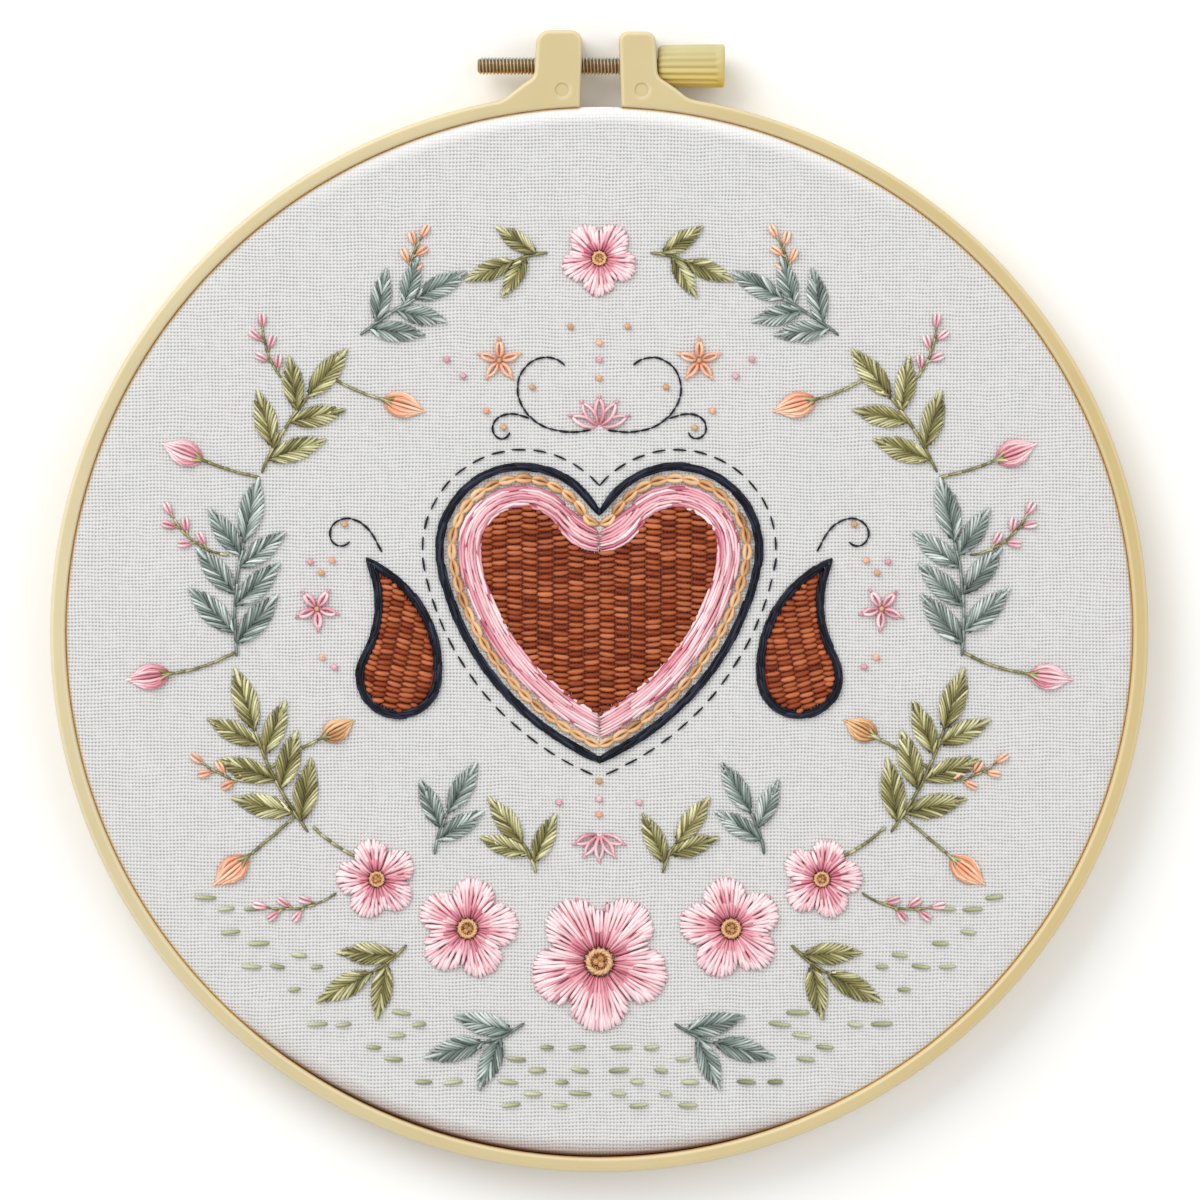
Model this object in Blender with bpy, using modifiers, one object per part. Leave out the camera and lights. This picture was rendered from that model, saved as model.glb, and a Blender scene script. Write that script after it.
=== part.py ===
"""Hoop embroidery art: stitched cloth drawn tight over an inner hoop, inside a split clamping hoop.

The hoop lies on its back. +Z points out of the stitched face, +Y towards the clamp and +X to the knob.
The origin is the centre of the whole part's outline, on the surface that the hoop rests on.
The stitched motifs are low pads here, one for each motif, as high as its laid threads.
"""

import math
from typing import NamedTuple

import bmesh
import bpy
from mathutils import Vector

MM = 0.001
GAP = 0.3 * MM  # kept between pieces that touch on the real thing

# Split outer hoop. The clamp draws it in slightly, so that it is wider than it is tall.
HOOP_WIDTH = 200.0 * MM
HOOP_OVAL = 0.984
HOOP_RIM = 2.8 * MM
HOOP_DEPTH = 10.0 * MM
HOOP_EDGE = 0.5 * MM
RING_STEPS = 72

# Clamp: two lugs at the ends of the split hoop, and a screw with a knob that draws them together.
# Heights are from the hoop's centre. The lugs lean in towards each other by their draft.
LUG_TOP = 109.6 * MM
LUG_SHOULDER = 101.2 * MM
LUG_EDGE_RADIUS = 2.0 * MM
LUG_DRAFT = 0.5 * MM
LEFT_LUG_FOOT = -17.8 * MM
LEFT_LUG_OUTER = -11.6 * MM
LEFT_LUG_INNER = -3.5 * MM
RIGHT_LUG_INNER = 4.0 * MM
RIGHT_LUG_OUTER = 10.4 * MM
RIGHT_LUG_FOOT = 16.4 * MM
LUG_MARKS = {"left_lug_mark": -6.8 * MM, "right_lug_mark": 7.7 * MM}
LUG_MARK_HEIGHT = 98.7 * MM
LUG_MARK_RADIUS = 1.25 * MM
LUG_MARK_DEPTH = 0.25 * MM

SCREW_RADIUS = 1.5875 * MM
SCREW_HEIGHT = 103.3 * MM
SCREW_TIP = -22.2 * MM
SCREW_CHAMFER = 0.4 * MM
SCREW_IN_KNOB = 7.0 * MM

KNOB_RADIUS = 4.0 * MM
KNOB_LENGTH = 12.2 * MM
KNOB_FLUTES = 18
KNOB_FLUTE_DEPTH = 0.35 * MM
KNOB_EDGE = 0.3 * MM
PAST = 2.0 * MM  # how far a cutter runs past the face that it opens
SMOOTHED_TO = 20.0  # degrees between faces that are shaded as one round surface

# Inner hoop, and the cloth that goes over it and down between the two hoops.
INNER_RIM = 2.5 * MM
BACK_INSET = 0.4 * MM
CLOTH_THICKNESS = 1.0 * MM
CLOTH_FRONT = 9.5 * MM
CLOTH_ROLL = 1.6 * MM
CLOTH_ROLL_STEPS = 3

# The box of the whole part sets the origin: the hoop's centre lies below it, on account of the lugs.
HOOP_RADIUS = HOOP_WIDTH / 2
HOOP_Y = (HOOP_RADIUS * HOOP_OVAL - LUG_TOP) / 2
AXIS_Z = HOOP_DEPTH / 2
KNOB_START = RIGHT_LUG_OUTER + GAP

# Stitched motifs. Their places are from the hoop's centre, and their angles in degrees.
PAD_BOTTOM = CLOTH_FRONT + GAP
LOW_PAD = 0.7 * MM
HIGH_PAD = 1.0 * MM

HEART_MIDDLE = Vector((0.0, 15.0 * MM))
HEART_LOBE = 16.0 * MM
HEART_SPREAD = 14.0 * MM
HEART_SIDE = 50.0 * MM
HEART_SIDE_FROM = -12.0
HEART_FILLING_FROM = 8.6

PAISLEY_MIDDLE = Vector((36.5 * MM, -8.0 * MM))
PAISLEY_BODY = 8.0 * MM
PAISLEY_BACK = 22.0 * MM
PAISLEY_BACK_FROM = 185.0
PAISLEY_HOLLOW = 18.0 * MM
PAISLEY_HOLLOW_FROM = 30.0
PAISLEY_BORDER = 1.7 * MM
PAISLEY_FILLING_FROM = 2.1 * MM

PETALS = 5
PETAL_STEPS = 7
PETAL_ROOT = 0.62
PETAL_FULLNESS = 0.55
KNOT_SHARE = 0.2
KNOT_STEPS = 12

LEAF_SLIMNESS = 0.38
LEAF_STEPS = 3
LEAF_SPREAD = 44.0
LEAF_TAPER = 0.15
LEFT_LEAVES_FROM = 0.32
RIGHT_LEAVES_FROM = 0.62
STEM_HALF = 0.45 * MM


class Finish(NamedTuple):
    colour: tuple
    roughness: float
    metallic: float


FINISHES = {
    "hoop_plastic": Finish((0.74, 0.62, 0.36), 0.42, 0.0),
    "knob_plastic": Finish((0.68, 0.55, 0.25), 0.40, 0.0),
    "screw_steel": Finish((0.38, 0.30, 0.20), 0.35, 1.0),
    "cloth": Finish((0.80, 0.79, 0.76), 0.90, 0.0),
    "thread_pink": Finish((0.80, 0.38, 0.43), 0.45, 0.0),
    "thread_rust": Finish((0.40, 0.11, 0.04), 0.50, 0.0),
    "thread_navy": Finish((0.012, 0.014, 0.025), 0.50, 0.0),
    "thread_gold": Finish((0.62, 0.33, 0.13), 0.45, 0.0),
    "thread_olive": Finish((0.24, 0.22, 0.07), 0.50, 0.0),
    "thread_sage": Finish((0.20, 0.27, 0.26), 0.50, 0.0),
    "thread_peach": Finish((0.82, 0.42, 0.28), 0.45, 0.0),
}


class Border(NamedTuple):
    """A band of the heart, between two distances in from its outline, in millimetres."""

    name: str
    thread: str
    outer: float
    inner: float
    height: float


HEART_BORDERS = (
    Border("heart_outline", "thread_navy", 0.0, 1.7, HIGH_PAD),
    Border("heart_chain", "thread_gold", 2.1, 4.0, LOW_PAD),
    Border("heart_band", "thread_pink", 4.4, 8.2, HIGH_PAD),
)


class Blossom(NamedTuple):
    """A five-petalled blossom: its middle and its width in millimetres, and its turn in degrees."""

    name: str
    x: float
    y: float
    width: float
    turn: float
    paired: bool


BLOSSOMS = (
    Blossom("blossom_large", 0.0, -60.0, 26.0, 90.0, False),
    Blossom("blossom_middle", 24.0, -54.0, 19.0, 65.0, True),
    Blossom("blossom_small", 40.5, -45.0, 15.0, 40.0, True),
    Blossom("blossom_top", 0.0, 68.0, 14.0, 90.0, False),
)


class Sprig(NamedTuple):
    """A stem with leaves on both sides and one at its tip, in millimetres and degrees.
    The stem leaves its foot at heading, and bends by turn over its length."""

    name: str
    thread: str
    x: float
    y: float
    heading: float
    length: float
    turn: float
    leaves_a_side: int
    leaf: float


SPRIGS = (
    Sprig("vine_low", "thread_olive", 53.0, -36.5, 53.0, 21.0, 19.0, 3, 12.0),
    Sprig("vine_middle", "thread_sage", 66.0, -4.5, 84.0, 21.0, 19.0, 3, 12.0),
    Sprig("vine_high", "thread_olive", 61.5, 29.0, 114.0, 16.0, 15.0, 2, 11.5),
    Sprig("vine_end", "thread_sage", 43.5, 54.0, 140.5, 12.0, 12.0, 2, 10.5),
    Sprig("spray_low", "thread_sage", 13.6, -71.2, -38.0, 8.0, 24.0, 1, 11.5),
    Sprig("spray_side", "thread_olive", 35.0, -57.0, -48.0, 8.0, 20.0, 1, 11.5),
    Sprig("spray_inner", "thread_olive", 11.5, -44.0, 78.0, 6.0, -24.0, 1, 10.5),
    Sprig("spray_heart", "thread_sage", 30.0, -40.5, 96.0, 8.0, 24.0, 1, 10.5),
    Sprig("spray_top", "thread_olive", 9.3, 69.0, -4.0, 6.5, -18.0, 1, 9.5),
)


class Bud(NamedTuple):
    """A closed bud, from its foot towards its heading, in millimetres and degrees."""

    name: str
    thread: str
    x: float
    y: float
    heading: float
    length: float
    width: float


BUDS = (
    Bud("bud_low", "thread_peach", 63.5, -40.5, -40.0, 9.0, 4.0),
    Bud("bud_side", "thread_pink", 77.5, -7.5, -8.0, 9.0, 4.0),
    Bud("bud_inner", "thread_gold", 51.0, -19.5, 152.0, 7.5, 3.6),
    Bud("bud_high", "thread_pink", 71.5, 31.0, 22.0, 9.0, 4.0),
    Bud("bud_end", "thread_peach", 40.0, 42.5, 196.0, 9.0, 4.0),
)


def collection(name):
    made = bpy.data.collections.new(name)
    bpy.context.scene.collection.children.link(made)
    return made


def materials():
    made = {}
    for name, finish in FINISHES.items():
        material = bpy.data.materials.new(name)
        material.use_nodes = True
        shader = material.node_tree.nodes["Principled BSDF"]
        shader.inputs["Base Color"].default_value = (*finish.colour, 1.0)
        shader.inputs["Roughness"].default_value = finish.roughness
        shader.inputs["Metallic"].default_value = finish.metallic
        made[name] = material
    return made


def add(obj, folder, material):
    folder.objects.link(obj)
    obj.data.materials.append(material)
    return obj


def direction(degrees):
    angle = math.radians(degrees)
    return Vector((math.cos(angle), math.sin(angle)))


def bearing(start, end):
    return math.degrees(math.atan2(end.y - start.y, end.x - start.x))


def arc(middle, radius, first, last, steps):
    """Points from one angle to another. The point at the last angle belongs to the next stretch."""
    return [middle + direction(first + (last - first) * i / steps) * radius for i in range(steps)]


def on_part(points):
    """Moves an outline from the hoop's centre to the part's origin."""
    return [Vector((point.x, point.y + HOOP_Y)) for point in points]


def mirrored(points):
    return [Vector((-point.x, point.y)) for point in reversed(points)]


def plate(name, outlines, bottom, top, edge=0.0):
    """A plate between two heights, from closed outlines: the first, with the others as its holes."""
    curve = bpy.data.curves.new(name, "CURVE")
    curve.dimensions = "2D"
    curve.fill_mode = "BOTH"
    curve.extrude = (top - bottom) / 2 - edge
    curve.bevel_depth = edge
    curve.bevel_resolution = 1
    curve.offset = -edge
    for outline in outlines:
        spline = curve.splines.new("POLY")
        spline.points.add(len(outline) - 1)
        spline.use_cyclic_u = True
        for point, spot in zip(spline.points, outline):
            point.co = (spot.x, spot.y, 0.0, 1.0)
    obj = bpy.data.objects.new(name, curve)
    obj.location.z = (bottom + top) / 2
    return obj


def shade(mesh):
    mesh.shade_smooth()
    mesh.set_sharp_from_angle(angle=math.radians(SMOOTHED_TO))


def as_mesh(obj, folder, material):
    """Makes a curve object a closed mesh in the same place, because a curve takes no Boolean."""
    folder.objects.link(obj)
    bpy.context.view_layer.update()
    graph = bpy.context.evaluated_depsgraph_get()
    mesh = bpy.data.meshes.new_from_object(obj.evaluated_get(graph))
    name, matrix = obj.name, obj.matrix_world.copy()
    bpy.data.objects.remove(obj)
    welded = bmesh.new()
    welded.from_mesh(mesh)
    bmesh.ops.remove_doubles(welded, verts=welded.verts, dist=0.002 * MM)
    bmesh.ops.recalc_face_normals(welded, faces=welded.faces)
    welded.to_mesh(mesh)
    welded.free()
    shade(mesh)
    made = bpy.data.objects.new(name, mesh)
    made.matrix_world = matrix
    return add(made, folder, material)


def rod(name, radius, start, end, sides):
    """A round bar between two points."""
    length = (end - start).length
    made = bmesh.new()
    bmesh.ops.create_cone(
        made, cap_ends=True, segments=sides, radius1=radius, radius2=radius, depth=length
    )
    mesh = bpy.data.meshes.new(name)
    made.to_mesh(mesh)
    made.free()
    shade(mesh)
    obj = bpy.data.objects.new(name, mesh)
    obj.location = (start + end) / 2
    obj.rotation_euler = (end - start).to_track_quat("Z", "Y").to_euler()
    return obj


def cut(obj, cutters, name, radius, start, end, sides=16):
    """Takes a round hole out of a piece, between two points."""
    cutter = rod(name, radius, start, end, sides)
    cutter.display_type = "WIRE"
    cutter.hide_render = True
    cutters.objects.link(cutter)
    modifier = obj.modifiers.new(name, "BOOLEAN")
    modifier.operation = "DIFFERENCE"
    modifier.object = cutter


def ring_point(radius, degrees):
    point = direction(degrees) * radius
    point.y *= HOOP_OVAL
    return point


def ring_arc(radius, left_x, right_x):
    """The long way round the ring, from its end on the left of the clamp to the one on the right."""
    left = math.degrees(math.acos(left_x / radius))
    right = math.degrees(math.acos(right_x / radius)) + 360.0
    step = 360.0 / RING_STEPS
    clear = 0.2 * step  # keeps the ring's common steps off its two ends
    stops = [i * step for i in range(2 * RING_STEPS) if left + clear < i * step < right - clear]
    return [ring_point(radius, angle) for angle in (left, *stops, right)]


def rounded_corner(before, corner, after, steps=3):
    """The arc that rounds one corner of a lug's outline."""
    towards = (before - corner).normalized()
    away = (after - corner).normalized()
    half = towards.angle(away) / 2
    middle = corner + (towards + away).normalized() * (LUG_EDGE_RADIUS / math.sin(half))
    reach = LUG_EDGE_RADIUS / math.tan(half)
    first = bearing(middle, corner + towards * reach)
    last = bearing(middle, corner + away * reach)
    sweep = (last - first + 180.0) % 360.0 - 180.0
    return arc(middle, LUG_EDGE_RADIUS, first, first + sweep * (steps + 1) / steps, steps + 1)


def lug(outer_x, inner_foot, lean):
    """One lug's outline above the ring, from its outer shoulder over its top towards its inner foot."""
    shoulder = Vector((outer_x, LUG_SHOULDER))
    outer_top = Vector((outer_x, LUG_TOP))
    inner_top = Vector((inner_foot.x + lean, LUG_TOP))
    return [
        shoulder,
        *rounded_corner(shoulder, outer_top, inner_top),
        *rounded_corner(outer_top, inner_top, inner_foot),
    ]


def outer_hoop(folder, cutters, material):
    """The split hoop and its two lugs in one piece, bored through for the screw."""
    outside = ring_arc(HOOP_RADIUS, LEFT_LUG_FOOT, RIGHT_LUG_FOOT)
    inside = ring_arc(HOOP_RADIUS - HOOP_RIM, LEFT_LUG_INNER, RIGHT_LUG_INNER)
    right = lug(RIGHT_LUG_OUTER, inside[-1], -LUG_DRAFT)
    left = lug(LEFT_LUG_OUTER, inside[0], LUG_DRAFT)
    outline = on_part([*outside, *right, *reversed(inside), *reversed(left)])
    hoop = as_mesh(plate("outer_hoop", [outline], 0.0, HOOP_DEPTH, HOOP_EDGE), folder, material)

    axis = Vector((0.0, HOOP_Y + SCREW_HEIGHT, AXIS_Z))
    along = Vector((1.0, 0.0, 0.0))
    recess = axis + along * RIGHT_LUG_OUTER
    far_side = axis + along * (LEFT_LUG_OUTER - PAST)
    cut(hoop, cutters, "screw_passage", SCREW_RADIUS + GAP, far_side, recess + along * PAST)
    cut(hoop, cutters, "knob_recess", KNOB_RADIUS + GAP, recess, recess + along * KNOB_LENGTH, 32)
    for name, x in LUG_MARKS.items():
        foot = Vector((x, HOOP_Y + LUG_MARK_HEIGHT, HOOP_DEPTH - LUG_MARK_DEPTH))
        cut(hoop, cutters, name, LUG_MARK_RADIUS, foot, foot + Vector((0.0, 0.0, PAST)))


def turned(name, profile, folder, material):
    """A shape turned about the hoop's axis. Its profile of (radius, height) goes down its outer side."""
    count = len(profile)
    starts_on_axis = profile[0][0] == 0.0
    edges = [(i, (i + 1) % count) for i in range(count - 1 if starts_on_axis else count)]
    mesh = bpy.data.meshes.new(name)
    mesh.from_pydata([(radius, 0.0, height) for radius, height in profile], edges, [])
    obj = bpy.data.objects.new(name, mesh)
    obj.location.y = HOOP_Y
    obj.scale.y = HOOP_OVAL
    screw = obj.modifiers.new("turned", "SCREW")
    screw.steps = screw.render_steps = RING_STEPS
    screw.use_merge_vertices = True
    screw.merge_threshold = 0.05 * MM
    add(obj, folder, material)


def inner_hoop(folder, material):
    """A plain band inside the cloth's turned-down edge."""
    outer = HOOP_RADIUS - HOOP_RIM - CLOTH_THICKNESS - 2 * GAP
    inner = outer - INNER_RIM
    top = CLOTH_FRONT - CLOTH_THICKNESS - GAP
    profile = [
        (inner, top),
        (outer - HOOP_EDGE, top),
        (outer, top - HOOP_EDGE),
        (outer, BACK_INSET + HOOP_EDGE),
        (outer - HOOP_EDGE, BACK_INSET),
        (inner, BACK_INSET),
    ]
    turned("inner_hoop", profile, folder, material)


def cloth(folder, material):
    """One sheet: tight across the front, rolled over the inner hoop, and trimmed off at the back."""
    outer = HOOP_RADIUS - HOOP_RIM - GAP
    inner = outer - CLOTH_THICKNESS
    roll = Vector((outer - CLOTH_ROLL, CLOTH_FRONT - CLOTH_ROLL))
    over = arc(roll, CLOTH_ROLL, 90.0, 0.0, CLOTH_ROLL_STEPS)
    under = arc(roll, CLOTH_ROLL - CLOTH_THICKNESS, 0.0, 90.0, CLOTH_ROLL_STEPS)
    profile = [
        (0.0, CLOTH_FRONT),
        *over,
        (outer, roll.y),
        (outer, BACK_INSET),
        (inner, BACK_INSET),
        *under,
        (roll.x, CLOTH_FRONT - CLOTH_THICKNESS),
        (0.0, CLOTH_FRONT - CLOTH_THICKNESS),
    ]
    turned("cloth", profile, folder, material)


def clamp_screw(folder, material):
    """The threaded rod, plain here, from its free end through both lugs into the knob."""
    axis = Vector((0.0, HOOP_Y + SCREW_HEIGHT, AXIS_Z))
    tip = axis + Vector((SCREW_TIP, 0.0, 0.0))
    end = axis + Vector((KNOB_START + SCREW_IN_KNOB, 0.0, 0.0))
    screw = add(rod("clamp_screw", SCREW_RADIUS, tip, end, sides=16), folder, material)
    chamfer = screw.modifiers.new("chamfered_ends", "BEVEL")
    chamfer.width = SCREW_CHAMFER
    chamfer.segments = 1
    chamfer.limit_method = "ANGLE"
    chamfer.angle_limit = math.radians(60.0)


def clamp_knob(folder, cutters, material):
    """The fluted knob, with a blind hole for the screw's end."""
    ridge_and_groove = (0.0, 0.0, KNOB_FLUTE_DEPTH, KNOB_FLUTE_DEPTH)
    count = KNOB_FLUTES * len(ridge_and_groove)
    depths = ridge_and_groove * KNOB_FLUTES
    outline = [direction(360.0 * i / count) * (KNOB_RADIUS - depths[i]) for i in range(count)]
    start = Vector((KNOB_START, HOOP_Y + SCREW_HEIGHT, AXIS_Z))
    along = Vector((1.0, 0.0, 0.0))
    curve = plate("clamp_knob", [outline], 0.0, KNOB_LENGTH, KNOB_EDGE)
    curve.location = start + along * KNOB_LENGTH / 2
    curve.rotation_euler.y = math.radians(90.0)
    knob = as_mesh(curve, folder, material)
    bottom = start + along * (SCREW_IN_KNOB + GAP)
    cut(knob, cutters, "knob_hole", SCREW_RADIUS + GAP, start - along * PAST, bottom)


def pad(name, outlines, height, folder, material):
    """One motif's pad, a little above the cloth."""
    placed = [on_part(outline) for outline in outlines]
    add(plate(name, placed, PAD_BOTTOM, PAD_BOTTOM + height), folder, material)


def pair(name, outlines, height, folder, material):
    """A pad on the right, and the same one mirrored on the left."""
    pad(name + "_right", outlines, height, folder, material)
    pad(name + "_left", [mirrored(outline) for outline in outlines], height, folder, material)


def heart_outline(inset):
    """A heart of arcs, drawn in all round: two lobes, two long sides and, drawn in, a rounded cleft."""
    lobe = HEART_MIDDLE + Vector((HEART_SPREAD, 0.0))
    side = lobe + direction(HEART_SIDE_FROM) * (HEART_LOBE - HEART_SIDE)
    cleft = HEART_MIDDLE + Vector((0.0, math.sqrt(HEART_LOBE**2 - HEART_SPREAD**2)))
    lobe_from = bearing(lobe, cleft)
    side_to = -math.degrees(math.acos(-side.x / (HEART_SIDE - inset)))
    right = [
        *arc(lobe, HEART_LOBE - inset, lobe_from, HEART_SIDE_FROM, 10),
        *arc(side, HEART_SIDE - inset, HEART_SIDE_FROM, side_to, 5),
    ]
    tip = side + direction(side_to) * (HEART_SIDE - inset)
    sides = [*right, tip, *mirrored(right)[:-1]]
    if inset == 0.0:
        return sides
    return [*sides, *arc(cleft, inset, 360.0 - lobe_from, 180.0 + lobe_from, 4)]


def heart(folder, shades):
    """Bands of different stitches, one inside the other, round a woven filling."""
    for border in HEART_BORDERS:
        outlines = [heart_outline(border.outer * MM), heart_outline(border.inner * MM)]
        pad(border.name, outlines, border.height, folder, shades[border.thread])
    filling = heart_outline(HEART_FILLING_FROM * MM)
    pad("heart_filling", [filling], LOW_PAD, folder, shades["thread_rust"])


def upper_crossing(first, first_radius, second, second_radius):
    """The higher of the two points where two circles cross."""
    apart = second - first
    share = (first_radius**2 - second_radius**2 + apart.length_squared) / (2 * apart.length)
    aside = math.sqrt(first_radius**2 - share**2)
    along = apart.normalized()
    across = Vector((-along.y, along.x))
    crossings = (first + along * share + across * side * aside for side in (-1, 1))
    return max(crossings, key=lambda point: point.y)


def paisley_outline(inset):
    """A curled drop of arcs, drawn in all round: a round body, a full back and a hollow front."""
    middle = PAISLEY_MIDDLE
    back = middle + direction(PAISLEY_BACK_FROM) * (PAISLEY_BODY - PAISLEY_BACK)
    hollow = middle + direction(PAISLEY_HOLLOW_FROM) * (PAISLEY_BODY + PAISLEY_HOLLOW)
    back_radius = PAISLEY_BACK - inset
    hollow_radius = PAISLEY_HOLLOW + inset
    tip = upper_crossing(back, back_radius, hollow, hollow_radius)
    return [
        *arc(middle, PAISLEY_BODY - inset, PAISLEY_HOLLOW_FROM, PAISLEY_BACK_FROM - 360.0, 10),
        *arc(back, back_radius, PAISLEY_BACK_FROM, bearing(back, tip), 5),
        *arc(hollow, hollow_radius, bearing(hollow, tip), PAISLEY_HOLLOW_FROM + 180.0, 5),
    ]


def paisleys(folder, shades):
    border = [paisley_outline(0.0), paisley_outline(PAISLEY_BORDER)]
    pair("paisley_outline", border, HIGH_PAD, folder, shades["thread_navy"])
    filling = [paisley_outline(PAISLEY_FILLING_FROM)]
    pair("paisley_filling", filling, LOW_PAD, folder, shades["thread_rust"])


def petals_outline(middle, radius, turn):
    count = PETALS * PETAL_STEPS
    points = []
    for i in range(count):
        bulge = math.sin(math.pi * (i % PETAL_STEPS) / PETAL_STEPS) ** PETAL_FULLNESS
        reach = radius * (PETAL_ROOT + (1.0 - PETAL_ROOT) * bulge)
        points.append(middle + direction(turn + 360.0 * i / count) * reach)
    return points


def blossoms(folder, shades):
    for row in BLOSSOMS:
        middle = Vector((row.x, row.y)) * MM
        radius = row.width * MM / 2
        knot_radius = radius * KNOT_SHARE
        hole = arc(middle, knot_radius + GAP, 0.0, 360.0, KNOT_STEPS)
        knot = arc(middle, knot_radius, 0.0, 360.0, KNOT_STEPS)
        petals = petals_outline(middle, radius, row.turn)
        lay = pair if row.paired else pad
        lay(row.name, [petals, hole], HIGH_PAD, folder, shades["thread_pink"])
        lay(row.name + "_knot", [knot], HIGH_PAD, folder, shades["thread_gold"])


def leaf_side(foot, heading, length, width, side):
    """The points along one side of a leaf, between its foot and its tip. side is 1 for its left."""
    along = direction(heading)
    across = direction(heading + 90.0) * side
    shares = [i / (LEAF_STEPS + 1) for i in range(1, LEAF_STEPS + 1)]
    return [foot + along * length * s + across * width / 2 * math.sin(math.pi * s) for s in shares]


def leaf_outline(foot, heading, length, width, side):
    """A leaf without its foot, from one side over its tip and back down the other."""
    tip = foot + direction(heading) * length
    there = leaf_side(foot, heading, length, width, side)
    back = leaf_side(foot, heading, length, width, -side)
    return [*there, tip, *reversed(back)]


def on_stem(sprig, share):
    """A point on a sprig's stem, which is an arc, and the stem's heading there."""
    foot = Vector((sprig.x, sprig.y)) * MM
    radius = sprig.length * MM / math.radians(sprig.turn)
    heading = sprig.heading + sprig.turn * share
    across = direction(sprig.heading + 90.0) - direction(heading + 90.0)
    return foot + across * radius, heading


def stem_side(sprig, side, offset):
    """One side of a stem from its foot to its tip, leaf by leaf."""
    foot, heading = on_stem(sprig, 0.0)
    points = [foot + direction(heading + 90.0) * side * STEM_HALF]
    for i in range(sprig.leaves_a_side):
        share = (i + offset) / sprig.leaves_a_side
        spot, heading = on_stem(sprig, share)
        edge = spot + direction(heading + 90.0) * side * STEM_HALF
        length = sprig.leaf * MM * (1.0 - LEAF_TAPER * share)
        points += leaf_outline(edge, heading + side * LEAF_SPREAD, length, length * LEAF_SLIMNESS, side)
    return points


def sprig_outline(sprig):
    """Up the stem's left side, round the leaf at its tip, and down its right side."""
    tip_foot, heading = on_stem(sprig, 1.0)
    length = sprig.leaf * MM
    tip_leaf = leaf_outline(tip_foot, heading, length, length * LEAF_SLIMNESS, 1)
    left = stem_side(sprig, 1, LEFT_LEAVES_FROM)
    right = stem_side(sprig, -1, RIGHT_LEAVES_FROM)
    return [*left, *tip_leaf, *reversed(right)]


def sprigs(folder, shades):
    for sprig in SPRIGS:
        pair(sprig.name, [sprig_outline(sprig)], LOW_PAD, folder, shades[sprig.thread])


def buds(folder, shades):
    for bud in BUDS:
        foot = Vector((bud.x, bud.y)) * MM
        outline = [foot, *leaf_outline(foot, bud.heading, bud.length * MM, bud.width * MM, 1)]
        pair(bud.name, [outline], HIGH_PAD, folder, shades[bud.thread])


def main():
    for obj in list(bpy.data.objects):
        bpy.data.objects.remove(obj)
    folder = collection("hoop_embroidery_art")
    cutters = collection("cutters")
    shades = materials()
    outer_hoop(folder, cutters, shades["hoop_plastic"])
    inner_hoop(folder, shades["hoop_plastic"])
    cloth(folder, shades["cloth"])
    clamp_screw(folder, shades["screw_steel"])
    clamp_knob(folder, cutters, shades["knob_plastic"])
    heart(folder, shades)
    paisleys(folder, shades)
    blossoms(folder, shades)
    sprigs(folder, shades)
    buds(folder, shades)


main()
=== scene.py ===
"""Hoop embroidery art: the looks of a stitched cloth drawn tight in a split clamping hoop.

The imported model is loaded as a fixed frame, and finer pieces take the place of its plain solids.
Lengths are in metres. Motif tables give millimetres from the hoop's centre, and degrees.
"""

import functools
import math
from typing import NamedTuple

import bmesh
import bpy
import numpy as np
from bpy.props import FloatProperty, FloatVectorProperty, IntProperty, PointerProperty
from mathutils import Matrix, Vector


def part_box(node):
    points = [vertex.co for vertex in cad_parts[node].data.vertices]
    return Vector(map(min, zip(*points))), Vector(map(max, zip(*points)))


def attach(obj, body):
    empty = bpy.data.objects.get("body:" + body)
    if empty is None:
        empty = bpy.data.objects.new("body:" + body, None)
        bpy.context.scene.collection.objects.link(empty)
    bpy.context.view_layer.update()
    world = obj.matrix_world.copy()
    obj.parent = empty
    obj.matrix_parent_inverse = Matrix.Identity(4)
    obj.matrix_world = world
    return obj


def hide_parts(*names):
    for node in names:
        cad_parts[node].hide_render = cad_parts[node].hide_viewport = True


bl_info = {
    "name": "Hoop embroidery art",
    "version": (1, 0, 0),
    "blender": (4, 5, 0),
    "location": "3D View > Sidebar > Embroidery",
    "description": "Moulded hoops, clamp screw, woven cloth and laid threads of a hoop embroidery",
    "category": "Object",
}

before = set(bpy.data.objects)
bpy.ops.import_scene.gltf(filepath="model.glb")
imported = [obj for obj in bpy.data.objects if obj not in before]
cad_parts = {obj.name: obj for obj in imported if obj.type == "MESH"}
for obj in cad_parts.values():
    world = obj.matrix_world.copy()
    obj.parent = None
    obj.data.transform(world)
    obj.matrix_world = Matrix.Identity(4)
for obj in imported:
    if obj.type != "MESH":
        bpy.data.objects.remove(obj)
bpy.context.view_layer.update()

MM = 0.001
HOOP_BODY = "hoop"
SCREW_BODY = "thumbscrew"

# Places and sizes that the frame gives. The hoop's centre lies below the part's, because of the lugs.
RING_LOW, RING_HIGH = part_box("outer_hoop")
INNER_LOW, INNER_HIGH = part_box("inner_hoop")
CLOTH_LOW, CLOTH_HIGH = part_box("cloth")
SCREW_LOW, SCREW_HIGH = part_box("clamp_screw")
KNOB_LOW, KNOB_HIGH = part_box("clamp_knob")
OVAL = 0.984
RING_RADIUS = RING_HIGH.x
RING_DEPTH = RING_HIGH.z
HOOP_Y = RING_LOW.y + RING_RADIUS * OVAL
LUG_TOP = RING_HIGH.y - HOOP_Y
FRONT = CLOTH_HIGH.z
AXIS = Vector((0.0, (KNOB_LOW.y + KNOB_HIGH.y) / 2, RING_DEPTH / 2))
SCREW_RADIUS = (SCREW_HIGH.z - SCREW_LOW.z) / 2
KNOB_RADIUS = (KNOB_HIGH.y - KNOB_LOW.y) / 2
ALONG_SCREW = Vector((1.0, 0.0, 0.0))
GAP = 0.3 * MM
NEAR = 0.01 * MM  # places closer than this are one place
WELD = 0.005 * MM

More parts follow.
